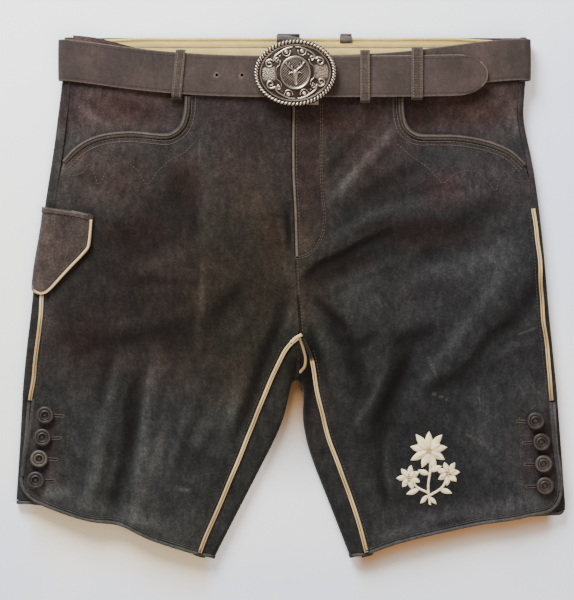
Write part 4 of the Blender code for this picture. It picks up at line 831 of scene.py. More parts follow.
pipings = {  # the seam that each follows, and how far from it the groove between its rolls lies, dented and in painted shade
    "piping_side_left": ("sideLeft", 0.5),
    "piping_side_right": ("sideRight", -0.5),
    "piping_inseam_left": ("inseamLeft", 0.3),
    "piping_inseam_right": ("inseamRight", -0.3),
}
# rub all over and on the up-facing crest: wear, and painted highlight on the crest
rubbed = {"suede": (0.1, 0.4), "trim": (0.1, 0.36), "cream": (0, 0),
          "hem_front_right": (0.2, 0.62), "fly_edge": (0.28, 0.42)}
seatBend = smoothLine((7.6, -42.5, 12.2, -53, 15.3, -62.5, 14.9, -70.5, 9.6, -77), 12)
for name, (finish, levels) in trims.items():
    if name.startswith("knife_pocket"):
        continue
    shape = sewnTrim(name, levels)
    places = dressed(shape, *rubbed.get(name, rubbed[finish]))
    x, y, z = places.T
    if name == "fly_edge":
        # its fold painted lighter along its length: painted highlight on the edge
        marked(shape, shade=0.85 + 0.18 * np.sin(y / 9) * np.cos(y / 23), warmth=0.7)
    if name in hems:  # drawn in to the edge that it binds, with painted highlight where it faces up
        places += (0.5 if "left" in name else -0.5, 0.7 if "front" in name else 0.0, 0)
        setPoints(shape, shaped(name, places))
        marked(shape, shade=0.05 + 0.62 * facingUp(shape, 0.45, 0.95))
    if name.startswith("pocket_welt"):  # a rubbed roll with painted highlight, a groove in painted shade and a thin rubbed ridge beside it
        across, _, _ = nearLine(x, y, seams["pocket" + name[12:].title()])
        groove, roll = bell(across, 3.25, 0.5), bell(across, 1.7, 0.9)
        ridge = bell(across, 4.5, 0.7)
        z -= 0.5 * groove * eased(z, 12, 14)
        setPoints(shape, places)
        marked(shape, rub=0.5 * roll + 0.2 * ridge, shade=0.15 + 0.6 * roll - 1.4 * groove)
    if name in pipings:
        seam, offset = pipings[name]
        away, side, share = nearLine(x, y, seams[seam])
        across = away * np.sign(side)
        groove, top = bell(across, np.median(across) + offset, 0.42), eased(z, 8, 11)
        # random dirt, darker towards the lower end, with painted shade added below
        soiledAndShaded = np.minimum(rough(places[:, 1::-1], 34, 300, 1.9), 0.1)
        soiledAndShaded = soiledAndShaded * (0.9 if "side" in name else 0.4) - 0.3 * eased(share, 0.9, 1.0)
        sway = rough(places[:, 1::-1], 26, 200, 6.6)
        z -= 0.5 * groove * top
        x += 1.3 * sway * (1 if "side" in name else 0.4)
        if "side" in name:
            soiledAndShaded -= 0.45 * eased(share, 0.55, 0.95)
        if name == "piping_side_left":  # up to the knife pocket's point
            y += 3.2 * eased(y, -24, -3)
            x -= 1.2 * eased(y, -24, 0)
        if name == "piping_inseam_right":  # painted shade where it runs into the fold at the crotch
            soiledAndShaded -= 7.0 * (1 - eased(share, 0.095, 0.125))
        setPoints(shape, places)
        marked(shape, groove=groove * top, shade=soiledAndShaded)
    if name == "piping_seat":  # bent round the fold of the crotch
        along = lengthAlong(seatBend)
        at = (y.max() - y) / (y.max() - y.min()) * along[-1]
        spotX, spotY, turnX, turnY = (
            np.interp(at, along, line[:, k])
            for line in (seatBend, np.gradient(seatBend, along, axis=0)) for k in (0, 1))
        aside = x - (x.min() + x.max()) / 2
        x[:], y[:] = spotX - turnY * aside, spotY + turnX * aside
        z[:] = np.maximum(z, 12.0 + 0.2 * (z - 12.0))
        setPoints(shape, places)
        marked(shape, groove=0, shade=-0.45)
    finished(shape, finish, name)
print("trims sewn on:", len(pieces))


# Stitches: one plump stitch, copied along each row
stitch = {"length": 2.5, "thickness": 0.62, "sink": 0.3, "raised": 0.14}


def selectFaces(shape, chosen):
    # in edit mode, only the faces that pass the test
    bpy.ops.mesh.select_mode(type="FACE")
    bpy.ops.mesh.select_all(action="DESELECT")
    bm = bmesh.from_edit_mesh(shape.data)
    for face in bm.faces:
        face.select_set(bool(chosen(face)))
    bmesh.update_edit_mesh(shape.data)


def newPrimitive(kind, **sizes):
    bpy.ops.object.select_all(action="DESELECT")
    getattr(bpy.ops.mesh, f"primitive_{kind}_add")(**sizes)
    bpy.ops.object.transform_apply(location=True, rotation=True, scale=True)
    return bpy.context.object


def taken(shape):
    # the mesh as lists, with its object gone
    lists = meshLists(shape)
    bpy.data.objects.remove(shape)
    return lists


def oneStitch():
    long, thick = stitch["length"] * mm, stitch["thickness"] * mm
    drop = -thick * stitch["sink"]
    shape = newPrimitive("cylinder", vertices=6, radius=thick / 2, depth=long * 0.5,
                         rotation=(0, math.pi / 2, 0))
    with editing():
        for way in (1, -1):
            selectFaces(shape, lambda face: face.normal.x * way > 0.9)
            drawnOut((way * long * 0.25, 0, drop), (1, 0.5, 0.5), (way * long * 0.5, 0, drop))
    return taken(shape)


stitchPlaces, stitchFaces = oneStitch()


def stitches(rows, tree, pitch, size):
    for row in rows:
        for (x, y), way in zip(*stepped(row, pitch)):
            z, up = topAt(tree, x, y)
            if z is not None:
                forward = Vector((*way, 0)).normalized()
                forward = (forward - up * forward.dot(up)).normalized()
                basis = np.array([forward, up.cross(forward), up])
                spot = np.array([x, y, z]) + basis[2] * stitch["raised"]
                yield (stitchPlaces * size) @ basis + spot, stitchFaces


# Knife pocket on the left thigh, with its own hem and piping
knife = {
    "lighter": 0.54,
    "warmth": 0.8,
    # the middle of its piping from the top corner round to the side
    "edge": np.reshape((-192.4, 78, -193.7, 65, -195.5, 51.4, -196.4, 46, -204.2, 36.9, -212.9,
                        28.1, -223.6, 16.5, -232.3, 6.8, -237.2, 2.4, -242, 1, -246.9, 3.4,
                        -249.8, 7.8), (-1, 2)),
    "top": (85.4, -241.5, 0.158),
}
shape = sewnTrim("knife_pocket", cloth["knife_pocket"][0])
places = dressed(shape)
wave = rough(places, 14, 20, 2.2)
places[:, 2] += 0.35 * wave * eased(places[:, 2], 8, 13)
setPoints(shape, places)
# its own lighter brown, with its raised waves painted lighter as painted highlight
marked(shape, shade=knife["lighter"] + 0.25 * wave, warmth=knife["warmth"], rub=0)
finished(shape, "suede", "knife_pocket")
pocketTree = treeOf(pieces["knife_pocket"])
for name in ("knife_pocket_hem", "knife_pocket_piping"):
    finish, levels = trims[name]
    shape = sewnTrim(name, levels)
    places = dressed(shape)
    x, y, z = places.T
    if finish == "cream":  # a thin pale roll with painted shade along both edges
        away, side, _ = nearLine(x, y, knife["edge"])
        across = away * np.sign(side)
        across -= (across.min() + across.max()) / 2
        grooves = 0.85 * eased(across, 0.35, 0.95) + 0.9 * eased(-across, 0.75, 1.2)
        marked(shape, groove=grooves, shade=0.12)
        x += 2.2 * eased(-x, 248.5, 253) * eased(y, 1, 6)
    else:
        x += 1.0 * eased(-x, 225, 241) - 1.6 * eased(x, -206, -193)
        z[:] = np.minimum(z, [(topAt(pocketTree, *p[:2])[0] or 99) + 1.0 for p in places])
        high, left, slope = knife["top"]
        edge = eased(y - high + (x - left) * slope, -1.6, -0.6)
        marked(shape, shade=knife["lighter"] + 0.12 + 0.4 * edge, warmth=knife["warmth"],
               rub=0.75 * edge)
    setPoints(shape, places)
    finished(shape, finish, name)


# Belt: a closed strap with its free end to the right, and the loops that hold it
belt = {
    "middle": smoothLine((-214, 227.8, -190, 224.2, -169, 221.2, -136, 217.2, -86, 213.3, -50,
                          212, 4, 211.6, 67, 211.4, 116, 211.8, 163, 212.6, 176, 213)),
    "band": smoothLine((197, 226.6, 210, 227.8, 220, 228.4, 229, 228.6)),
    "sewn": 16.6,
    "holes": ((-71.3, 212.9), (-47.0, 212.9)),
    "tip": (163.6, 213.2, 24.6, 17.6),
    # each row of sewing on a loop: across, its lean, from and to
    "loopRows": ((-113.4, 4.4, 192, 236), (-107.4, 4.4, 192, 236), (68.9, 0, 190, 236),
                 (75.1, 0, 190, 236), (118.6, 0, 192, 238.6), (126.0, 0, 192, 238.6)),
}


def rimRub(shape, reach, strength):
    # paler close to the cut edges
    bm = bmesh.new()
    bm.from_mesh(shape.data)
    rim = {v.index for e in bm.edges if len(e.link_faces) == 2
           and e.calc_face_angle(0) > math.radians(45) for v in e.verts}
    bm.free()
    places = layoutPoints(shape)
    tree = nearTree([places[i] for i in rim])
    away = np.array([tree.find(p)[2] for p in places])
    return strength * eased(1 - away / reach, 0, 1)


def disc(x, y, z, radius, depth):
    return newPrimitive("cylinder", vertices=20, radius=radius * mm, depth=depth * mm,
                        location=((np.array([x, y, z]) + layoutShift) * mm).tolist())


strap, holes = refined(plainCopy("belt_strap", "belt_strap_leather"), 3), []
for x, y in belt["holes"]:
    z, _ = topAt(treeOf(strap), x, y)
    hole = disc(x, y, z, 1.5, 9)
    applied(strap, "BOOLEAN", operation="DIFFERENCE", object=hole, solver="EXACT")
    bpy.data.objects.remove(hole)
    holes.append((x, y, z - 3.4))
places = layoutPoints(strap)
swell = rough(places, 40, 30, 8.0)
places[:, 2] += 0.4 * swell * eased(places[:, 2], 12, 18)
setPoints(strap, places)
# raised swells painted lighter as painted highlight, the left end darker
marked(strap, shade=0.35 * swell - 0.2 * eased(-places[:, 0], 110, 190),
       warmth=0.5 + 0.5 * swell, mark=0, rub=rimRub(strap, 1.5, 1.1))
finished(strap, "belt", "belt_strap")
loops = ("belt_loop_left", "belt_loop_right", "belt_keeper", "belt_loop_back_left",
         "belt_loop_back_right")
for name in loops:
    shape = refined(plainCopy(name, name + "_leather"), 3)
    # the back loops painted lighter against the shade where they lie: painted light
    marked(shape, shade=1.5 if "back" in name else 0.3, warmth=0.6, mark=0,
           rub=rimRub(shape, 1.3, 0.8))
    finished(shape, "trim", name)
# a dark disc at the bottom of each hole: painted shade inside it
for i, place in enumerate(holes):
    bottom = disc(*place, 1.7, 0.6)
    with editing():
        selectFaces(bottom, lambda face: face.normal.z > 0.9)
        bpy.ops.mesh.inset(thickness=0.5 * mm)
        bpy.ops.transform.translate(value=(0, 0, -0.2 * mm))
    bottom.name = f"belt_hole_{i + 1}"
    finished(bottom, "gap", slot="belt_leather", degrees=None)
print("belt and loops made")


# Lining of the waistband, whose sewn top edge shows over the belt
lining = {
    "left": -206.0, "right": 216.0, "bottom": 198.0, "top": 250.0, "under": 7.0,
    "sewn": (3.4, 9.0),
    "profile": (  # down the inside: distance below the top edge, height
        (0.0, 7.6), (0.2, 8.3), (1.0, 8.75), (2.0, 8.7), (2.9, 8.25), (3.3, 7.9), (3.8, 8.1),
        (6.0, 8.25), (8.6, 8.25), (9.4, 8.0), (9.8, 7.75), (10.4, 8.0), (14, 8.1), (24, 8.1),
        (38, 8.05), (50, 8.0)),
}


def liningTop(x):
    return lining["top"] - 2.0 * eased(-x, 130, 206) - 2.6 * eased(x, 150, 216)


def liningPiece():
    columns, n = np.linspace(lining["left"], lining["right"], 240), len(lining["profile"]) + 2
    places = []
    for x in columns:
        top = liningTop(x) + 0.45 * noise.noise((x / 23, 0.7, 0))
        places += [(x, max(top - below, lining["bottom"]),
                    z + 0.12 * noise.noise((x / 9, below / 4, 3)))
                   for below, z in lining["profile"]]
        places += [(x, lining["bottom"], lining["under"]), (x, top - 0.1, lining["under"])]
    faces = gridFaces(len(columns), n)
    faces += [list(range(n))[::-1], [len(places) - n + j for j in range(n)]]
    return fromFaces("waistband_lining_cloth", places, faces)


shape = liningPiece()
x, y, _ = layoutPoints(shape).T
below = liningTop(x) - y
upperRow, lowerRow = lining["sewn"]
# painted shade along the two sewn rows and further down under the belt
marked(shape, rub=eased(upperRow - below, 0, 0.8),
       shade=0.1 - 0.3 * bell(below, upperRow, 0.6) - 0.45 * bell(below, lowerRow, 0.8)
       - 0.5 * eased(below, 13, 22))
only(shape)
with editing(evened=True):
    pass
finished(shape, "lining", "waistband_lining", degrees=60)

# Rows of sewing
coverTree = treeOf(*(pieces[n] for n in (*body, *trims, "knife_pocket")))
beltTree = treeOf(*(pieces[n] for n in ("belt_strap", *loops[:3])))
knifeTree = treeOf(pieces["knife_pocket"], pieces["knife_pocket_hem"])
liningTree = treeOf(pieces["waistband_lining"])
waves = {
    "left": (-220.3, 117.4, -210.4, 115.9, -200.5, 119.7, -195.6, 126.1, -190.5, 117, -185.8,
        107.3, -178.3, 119.7, -168.3, 127.1, -157.2, 127.7, -148.6, 120.9, -138.6, 107.3, -128.7,
        119.7, -116.4, 130.9, -102.8, 138.2, -91.7, 149.4),
    "right": (104.6, 145.7, 116.9, 134.5, 131.7, 124.6, 141.6, 114.8, 147.9, 108.6, 156.5, 114.8,
        166.4, 119.7, 176.2, 120.9, 186.2, 114.8, 193.5, 107.3, 198.6, 101.1, 202.2, 111, 208.5,
        119.7, 215.8, 112.2, 225.8, 110.4, 234.4, 111),
}
flySewing = smoothLine((29.3, 184, 28.8, 146, 28.8, 125.1, 30.4, 93.6, 32.0, 77.9, 29.3, 56.8,
                        20.9, 43.2, 13, 38.4, 5.1, 36.9))
seams["hemRight"] = shaped("front_right", seams["hemRight"].copy())
tipX, tipY, tipLong, tipHigh = belt["tip"]


def beside(seam, *distances):
    return [shifted(seams[seam], by) for by in distances]


def partBeside(seam, low, high, by):
    return shifted(stretch(seams[seam], low, high), by)


sewing = (  # thread, what it's sewn through, pitch, size of a stitch, the rows of each piece
    ("brownThread", coverTree, 3.3, 1.35, {
        "sewing_pocket_left": beside("pocketLeft", -7.2, -10.6),
        "sewing_pocket_right": beside("pocketRight", 7.2, 10.6)}),
    ("brownThread", coverTree, 3.3, 1, {
        "sewing_wave_left": [smoothLine(waves["left"], 6)],
        "sewing_wave_right": [smoothLine(waves["right"], 6)],
        "sewing_fly": [flySewing, shifted(flySewing, 1.9)],
        "sewing_centre": [partBeside("centreFront", -36, 36, 2.2),
                          stretch(shifted(seams["centreFront"], 5.0), 46, 182)]}),
    ("holeThread", coverTree, 3.3, 1, {
        "sewing_hem_left": beside("hemLeft", 3.4),
        "sewing_hem_right": beside("hemRight", -3.4),
        "sewing_seams": [
            partBeside("sideLeft", -96, -6, 4.6), partBeside("sideRight", -96, 82, -4.6),
            partBeside("inseamLeft", -238, -52, -4.2), partBeside("inseamRight", -240, -54, 4.2)],
        "sewing_vent_left": [
            smoothLine((-216, -118, -215.4, -136, -217.6, -156)),
            smoothLine((-238.5, -192, -231, -188.6, -226.4, -182, -225.6, -175))],
        "sewing_vent_right": [smoothLine((222, -120, 223.4, -142, 222.6, -166, 224.4, -194))]}),
    ("brownThread", knifeTree, 3.3, 0.9, {"sewing_knife_pocket": [
        smoothLine((-240, 79.6, -220, 77.0, -198, 72.4)), shifted(knife["edge"][:8], -2.7)]}),
    ("darkThread", beltTree, 3.0, 0.8, {"sewing_belt": [
        shifted(belt["middle"], belt["sewn"])[:-1], shifted(belt["middle"], -belt["sewn"])[:-1],
        [(tipX + tipLong * math.cos(a), tipY + tipHigh * math.sin(a))
         for a in np.linspace(math.pi / 2, -math.pi / 2, 24)],
        shifted(belt["band"], -belt["sewn"])]}),
    ("paleThread", beltTree, 2.7, 0.8, {"sewing_loops": [
        [(x, low), (x + lean, high)] for x, lean, low, high in belt["loopRows"]]}),
    ("brownThread", beltTree, 2.4, 0.85, {"sewing_loop_ribs": [
        [(119.6, y), (125.2, y)] for y in np.arange(195, 237, 2.3)]}),
    ("goldThread", liningTree, 2.9, 0.9, {"sewing_lining": [
        [(x, liningTop(x) - below) for x in range(-200, 212, 6)] for below in lining["sewn"]]}),
)
for finish, tree, pitch, size, rows in sewing:
    for name, lines in rows.items():
        finished(gathered(name, stitches(lines, tree, pitch, size)), finish, degrees=60)
print("rows of sewing made")


def rolled(name, finish, width, height, rub, shade, lines, raised=0.0, tree=coverTree):
    # a narrow rolled edge or ridge laid along each line
    section = ((-0.5, -0.3), (-0.34, 0.62), (0.0, 1.0), (0.34, 0.62), (0.5, -0.3), (0.0, -0.5))
    places, faces, n = [], [], len(section)
    for line in lines:
        start, base = len(places), None
        for (x, y), (dx, dy) in zip(*stepped(line, 1.6)):
            below, _ = topAt(tree, x, y)
            base = base if below is None or base is not None and below < base - 3 else below
            if base is None:
                continue
            vary = 1 + 0.14 * noise.noise((x / 7, y / 7, 4.4))
            for across, up in section:
                reach = across * width * vary / math.hypot(dx, dy)
                places.append((x - dy * reach, y + dx * reach,
                               base + raised + up * height * (vary if up > 0 else 1)))
        faces += gridFaces((len(places) - start) // n, n, start, flip=True)
        faces += [[start + k for k in range(n)],
                  [len(places) - n + k for k in range(n)][::-1]]
    shape = fromFaces(name, places, faces)
    dressed(shape)
    # pale on the upper half of the roll: rubbed wear and painted highlight
    rollWearAndHighlight = [rub * max(up, 0.0) for _, up in section] * (len(places) // n)
    marked(shape, rub=rollWearAndHighlight, shade=shade, groove=0)
    finished(shape, finish, degrees=75)


ventEdges = ((-249.6, -101, -251.0, -118, -254.6, -140, -258.6, -160, -260.6, -176),
             (252.6, -104, 254.0, -118, 255.8, -140, 258.2, -160, 260.9, -178, 261.8, -190))
rolled("edge_vents", "suede", 4.4, 0.9, 0.6, 0.3, map(smoothLine, ventEdges))
rolled("piping_crotch_turn", "cream", 3.4, 0.9, 0.0, 0.0,
       [smoothLine((0.5, -46.0, 3.6, -42.8, 7.6, -40.2, 11.2, -38.4))])
rolled("hem_ends", "suede", 5.2, 2.4, 0.3, 0.3,
       [smoothLine((-93.5, -250.0, -88, -252.0, -82.5, -253.3)),
        smoothLine((79.5, -249.6, 74, -251.7, 69, -253.0))], raised=-2.5)
# darkened strips in the crotch fold: painted shade
rolled("crotch_turns", "suede", 3.6, 0.35, 0.0, -0.5,
       [smoothLine((7.4, 0, 8.6, -14, 9.6, -28, 10.2, -38)),
        smoothLine((8.4, -45.5, 8.0, -60, 7.4, -74, 6.6, -83))])
# a lighter ridge beside each hem: painted highlight
rolled("ridge_hems", "suede", 1.7, 0.4, 0.45, 0.35,
       beside("hemLeft", 1.5) + beside("hemRight", -1.5))
# loop turns painted lighter against the shade behind the belt: painted light
rolled("loop_turns", "trim", 7.4, 1.5, 0.35, 1.3,
       [smoothLine((-13.6, 248.9, -8, 249.4, 2, 248.4, 10.2, 246.4)),
        smoothLine((48.0, 248.4, 54, 248.6, 59.7, 248.2))], tree=liningTree)
print("rolled edges made")


def turned(name, profile, segments=48):
    # a disc drawn out through a profile of radius and height, closed at both ends
    radius, height = profile[0]
    shape = newPrimitive("circle", vertices=segments, radius=radius * mm, fill_type="NGON",
                         location=(0, 0, height * mm))
    with editing(evened=True):
        for (r0, z0), (r1, z1) in zip(profile, profile[1:]):
            drawnOut((0, 0, (z1 - z0) * mm), (r1 / r0, r1 / r0, 1))
    shape.name = name
    return shape


# Horn buttons down the vents, each in its sewn buttonhole
button = {
    "profile": ((2.4, -1.2), (2.5, 0.3), (7.1, 0.5), (8.2, 1.1), (8.7, 2.0), (8.65, 2.8),
                (8.2, 3.5), (7.5, 3.95), (6.7, 4.1), (6.1, 3.95), (5.7, 3.5), (5.3, 3.2),
                (4.9, 3.3), (4.5, 3.75), (4.0, 3.95), (3.5, 3.75), (3.1, 3.0), (2.9, 2.2),
                (2.6, 1.8), (1.2, 1.7), (0.3, 1.7)),
    "places": {  # down each vent: across, up and how worn
        "left": ((-237.8, -116.4, 0.10), (-240.6, -138.1, 0.10), (-243.7, -158.6, 0.48),
                 (-247.0, -179.6, 0.0)),
        "right": ((237.4, -122.0, 0.0), (243.0, -142.6, 0.04), (245.0, -163.6, 0.24),
                  (246.6, -185.0, 0.10)),
    },
    # from the top one down: its turn and tilts, and the slant of its hole
    "turns": ((0.3, 0.03, -0.02), (1.9, -0.02, 0.03), (4.1, 0.035, 0.02), (5.2, -0.03, -0.03)),
    "holeSlants": (-0.06, 0.03, -0.04, 0.05),
}
buttonhole = {"long": 12.5, "half": 1.15, "wall": 0.62, "threads": 30, "left": 1, "right": -1}
buttonPlaces, buttonFaces = taken(turned("button_master", button["profile"]))
fromMiddle = np.array([math.hypot(x, y) for x, y, _ in buttonPlaces])
edgeWear = 0.5 * eased(buttonPlaces[:, 2], 3.2, 4.05) * np.where(fromMiddle > 3.2, 1, 0.3)


def turnedBy(angle, axis="Z"):
    return np.array(Matrix.Rotation(angle, 3, axis))


def buttonholePlaces():
    # a worked hole: a roll of side-by-side threads round a slot, as a closed ring
    places, line, n = [], [], 6
    straight, half = buttonhole["long"] / 2 - buttonhole["half"], buttonhole["half"]
    for way in (1, -1):
        line += [(way * (2 * t - 1) * straight, -way * half) for t in np.linspace(0, 1, 9)]
        line += [(way * (straight + half * math.sin(a)), -way * half * math.cos(a))
                 for a in np.linspace(0, math.pi, 6)[1:-1]]
    line = np.array(line + line[:1])
    ring, ways = stepped(line, lengthAlong(line)[-1] / (2 * buttonhole["threads"]))
    for i, ((x, y), (dx, dy)) in enumerate(zip(ring[:-1], ways)):
        wall = buttonhole["wall"] * (1.0 if i % 2 else 0.78)
        for k in range(n):
            a = 2 * math.pi * k / n
            reach, rise = wall * math.cos(a) / math.hypot(dx, dy), 0.55 * wall * math.sin(a)
            places.append((x + dy * reach, y - dx * reach, rise))
    return np.array(places), gridFaces(len(ring) - 1, n, wrap=True)


holePlaces, holeFaces = buttonholePlaces()
slitPlaces = np.array([(x * buttonhole["long"] / 2.1, y * buttonhole["half"] * 0.75, 0)
                       for x, y in ((-1, 0), (-0.85, -0.8), (0.85, -0.8), (1, 0), (0.85, 0.8),
                                    (-0.85, 0.8))])


def onLeather(places, x, y, slant, raised):
    # laid on the leather, following its slope point by point
    out = places @ turnedBy(slant).T + (x, y, 0)
    for i, (px, py, pz) in enumerate(out):
        out[i, 2] = (topAt(coverTree, px, py)[0] or 13.0) + pz + raised
    return out


for side, spots in button["places"].items():
    for i, (x, y, worn) in enumerate(spots):
        name = f"button_{side}_{i + 1}"
        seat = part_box(name)[0].z / mm + 1.2 + settle(np.array([(x, y, 0.0)]))[0]
        turn, tiltX, tiltY = button["turns"][i]
        basis = turnedBy(tiltX, "X") @ turnedBy(tiltY, "Y") @ turnedBy(turn)
        shape = fromFaces(name + "_horn", buttonPlaces @ basis.T + (x, y, seat), buttonFaces)
        # rubbed wear on the rim, and painted shade in the middle hollow
        marked(shape, rub=edgeWear * (0.2 + worn) + worn * 0.5,
               groove=1 - eased(fromMiddle, 2.5, 3.3))
        finished(shape, "horn", name, degrees=32)
        crossed = [(stitchPlaces * (1.35, 0.9, 0.9)) @ turnedBy(angle).T + (x, y, seat + 2.1)
                   for angle in (0.7, 0.7 + math.pi / 2)]
        shape = gathered(f"button_thread_{side}_{i + 1}", [(one, stitchFaces) for one in crossed])
        finished(shape, "brownThread", degrees=60)
# worked buttonholes, and in each slit a dark sheet: painted shade in the opening
for side, spots in button["places"].items():
    for name, part, itsFaces, raised in (("buttonholes", holePlaces, holeFaces, 0.15),
                                         ("buttonhole_slits", slitPlaces, [range(6)], 0.12)):
        laid = [onLeather(part, x + buttonhole[side] * (5.8 + buttonhole["long"] / 2), y - 0.8,
                          slant, raised)
                for (x, y, _), slant in zip(spots, button["holeSlants"])]
        shape = gathered(f"{name}_{side}", [(one, itsFaces) for one in laid])
        if name == "buttonholes":
            finished(shape, "holeThread", degrees=60)
        else:
            finished(applied(shape, "SOLIDIFY", thickness=0.1 * mm), "gap", degrees=None)
print("buttons and buttonholes made")


# Buckle: an oval plate with a roped rim, cast scrolls and a hatched oval with a stag's head
buckle = {
    "centre": (4.6, 214.0, 0),
    "tilt": math.radians(3),
    "plate": ((0.2, 29.2), (0.88, 29.2), (0.955, 29.5), (0.965, 30.2), (0.945, 30.9),
              (0.91, 31.0), (0.885, 30.5), (0.86, 30.3), (0.80, 30.6), (0.66, 31.3),
              (0.48, 31.8), (0.28, 32.2), (0.10, 32.35), (0.01, 32.4)),
    "half": (36.6, 29.1),
    "rope": {"half": (37.6, 30.1), "turns": 33, "offset": 1.3, "strand": 1.22, "level": 30.3},
    "oval": (15.2, 16.6),
}


def onBuckle(places):
    # from the buckle's own plane to the layout
    return np.asarray(places, float) @ turnedBy(buckle["tilt"]).T + buckle["centre"]


def fromBuckle(shape):
    # its points in the buckle's own plane, with the share of the way out to the rim
    places = (layoutPoints(shape) - buckle["centre"]) @ turnedBy(-buckle["tilt"]).T
    return places, np.hypot(places[:, 0] / buckle["half"][0], places[:, 1] / buckle["half"][1])


def plateHeight(u, v):
    share = np.hypot(u / buckle["half"][0], v / buckle["half"][1])
    return np.interp(share, *zip(*sorted(buckle["plate"][5:])))


def tube(path, radius, thins=None, closed=False):
    # a bevelled curve through the points, as a welded mesh
    data = bpy.data.curves.new("tube", "CURVE")
    data.dimensions, data.bevel_depth, data.bevel_resolution = "3D", radius * mm, 2
    data.use_fill_caps = not closed
    spline = data.splines.new("POLY")
    spline.points.add(len(path) - 1)
    spline.use_cyclic_u = closed
    world = (np.asarray(path, float) + layoutShift) * mm
    for point, place, thin in zip(spline.points, world, thins or [1.0] * len(path)):
        point.co, point.radius = (*place, 1), thin
    shape = bpy.data.objects.new("tube", data)
    bpy.context.scene.collection.objects.link(shape)
    only(shape)
    bpy.ops.object.convert(target="MESH")
    with editing(evened=True):
        bpy.ops.mesh.remove_doubles(threshold=0.00001)
    return bpy.context.object


def joined(name, shapes):
    only(shapes[0])
    for shape in shapes:
        shape.select_set(True)
    bpy.ops.object.join()
    shapes[0].name = name
    return shapes[0]


def cast(shape, low, high, *nodes, overPlate=False, degrees=50):
    # bright where it stands proud, dark in the recesses
    places, _ = fromBuckle(shape)
    height = places[:, 2] - (plateHeight(*places[:, :2].T) if overPlate else 0)
    marked(shape, rub=eased(height, low, high), mark=0)
    finished(shape, "silver", *nodes, degrees=degrees)


halfU, halfV = buckle["half"]
plate = turned("buckle_plate_cast", [(r * 10, z) for r, z in buckle["plate"]], 96)
setPoints(plate, onBuckle(meshLists(plate)[0] * (halfU / 10, halfV / 10, 1)))
subdivided(plate, 2)
local, share = fromBuckle(plate)
# the hammered ground at its two ends, and the bead inside its rim
field = eased(np.abs(local[:, 0]), 18, 20) * eased(7.5 - np.abs(local[:, 1]), 0, 3)
field *= eased(0.88 - share, 0, 0.03)
bead = eased(local[:, 2], 30.75, 31) * eased(share, 0.87, 0.9)
marked(plate, rub=np.clip(0.04 + 0.6 * field + 0.5 * bead, 0, 1), mark=field)
finished(plate, "silver", "buckle_plate", degrees=50)

rope = buckle["rope"]
strands = []
for strand in range(2):
    path = []
    for t in np.linspace(0, 2 * math.pi, rope["turns"] * 12, endpoint=False):
        a, b = rope["half"]
        out = Vector((math.cos(t) / a, math.sin(t) / b)).normalized()
        twist = rope["turns"] * t + math.pi * strand
        reach, rise = rope["offset"] * math.cos(twist), rope["offset"] * math.sin(twist)
        path.append((a * math.cos(t) + out.x * reach, b * math.sin(t) + out.y * reach,
                     rope["level"] + rise))
    strands.append(tube(onBuckle(path), rope["strand"], closed=True))
cast(joined("buckle_rim_rope", strands), 31.0, 32.7, "buckle_rim")


def spiral(u, v, start, end, turns, first, way=1, steps=34):
    # a scroll winding in from its start radius to its end radius
    out = []
    for t in np.linspace(0, 1, steps):
        radius = start + (end - start) * t ** 0.8
        a = math.radians(first) + way * turns * 2 * math.pi * t
        out.append((u + radius * math.cos(a), v + radius * math.sin(a)))
    return out


def castLine(line, radius, thinnest):
    u, v = np.transpose(line)
    thins = np.linspace(1.0, thinnest, len(u))
    thins[0] *= 0.6
    return tube(onBuckle(np.transpose([u, v, plateHeight(u, v) + 0.35])), radius, thins.tolist())


def castLeaf(u, v, angle, long, wide):
    # a small raised leaf with a rib down its middle
    shape = newPrimitive("grid", x_subdivisions=8, y_subdivisions=4, size=1)
    out = []
    for x, y, _ in pointsOf(shape):
        t, side = x + 0.5, y * 2
        half = wide * math.sin(math.pi * min(max(t, 0.02), 0.98)) ** 0.8 * (1 - 0.35 * t)
        along, across = (t - 0.15) * long, side * half / 2
        du = along * math.cos(angle) - across * math.sin(angle)
        dv = along * math.sin(angle) + across * math.cos(angle)
        rise = 0.95 * (1 - abs(side) ** 1.5) - 0.35 * bell(side, 0, 0.22) + 0.1
        rise *= math.sin(math.pi * min(max(t, 0.06), 0.94))
        out.append((u + du, v + dv, plateHeight(u + du, v + dv) + rise))
    setPoints(shape, onBuckle(out))
    return applied(shape, "SOLIDIFY", thickness=0.5 * mm, offset=-1)


def castBerry(u, v, radius):
    # a ribbed seed head in its ring
    profile = ((0.5, -0.6), (1, -0.2), (1.04, 0.5), (0.9, 1.2), (0.62, 1.75), (0.3, 2.0),
               (0.06, 2.05))
    shape = turned("berry", [(share * radius, z) for share, z in profile], 40)
    out = []
    for x, y, z in meshLists(shape)[0]:
        ribs = 1 - 0.16 * max(0.0, z) * (0.5 + 0.5 * math.cos(5 * math.atan2(y, x))) / 1.8
        out.append((u + x * ribs, v + y * ribs, plateHeight(u, v) + z * (0.86 + 0.14 * ribs)))
    setPoints(shape, onBuckle(out))
    return shape


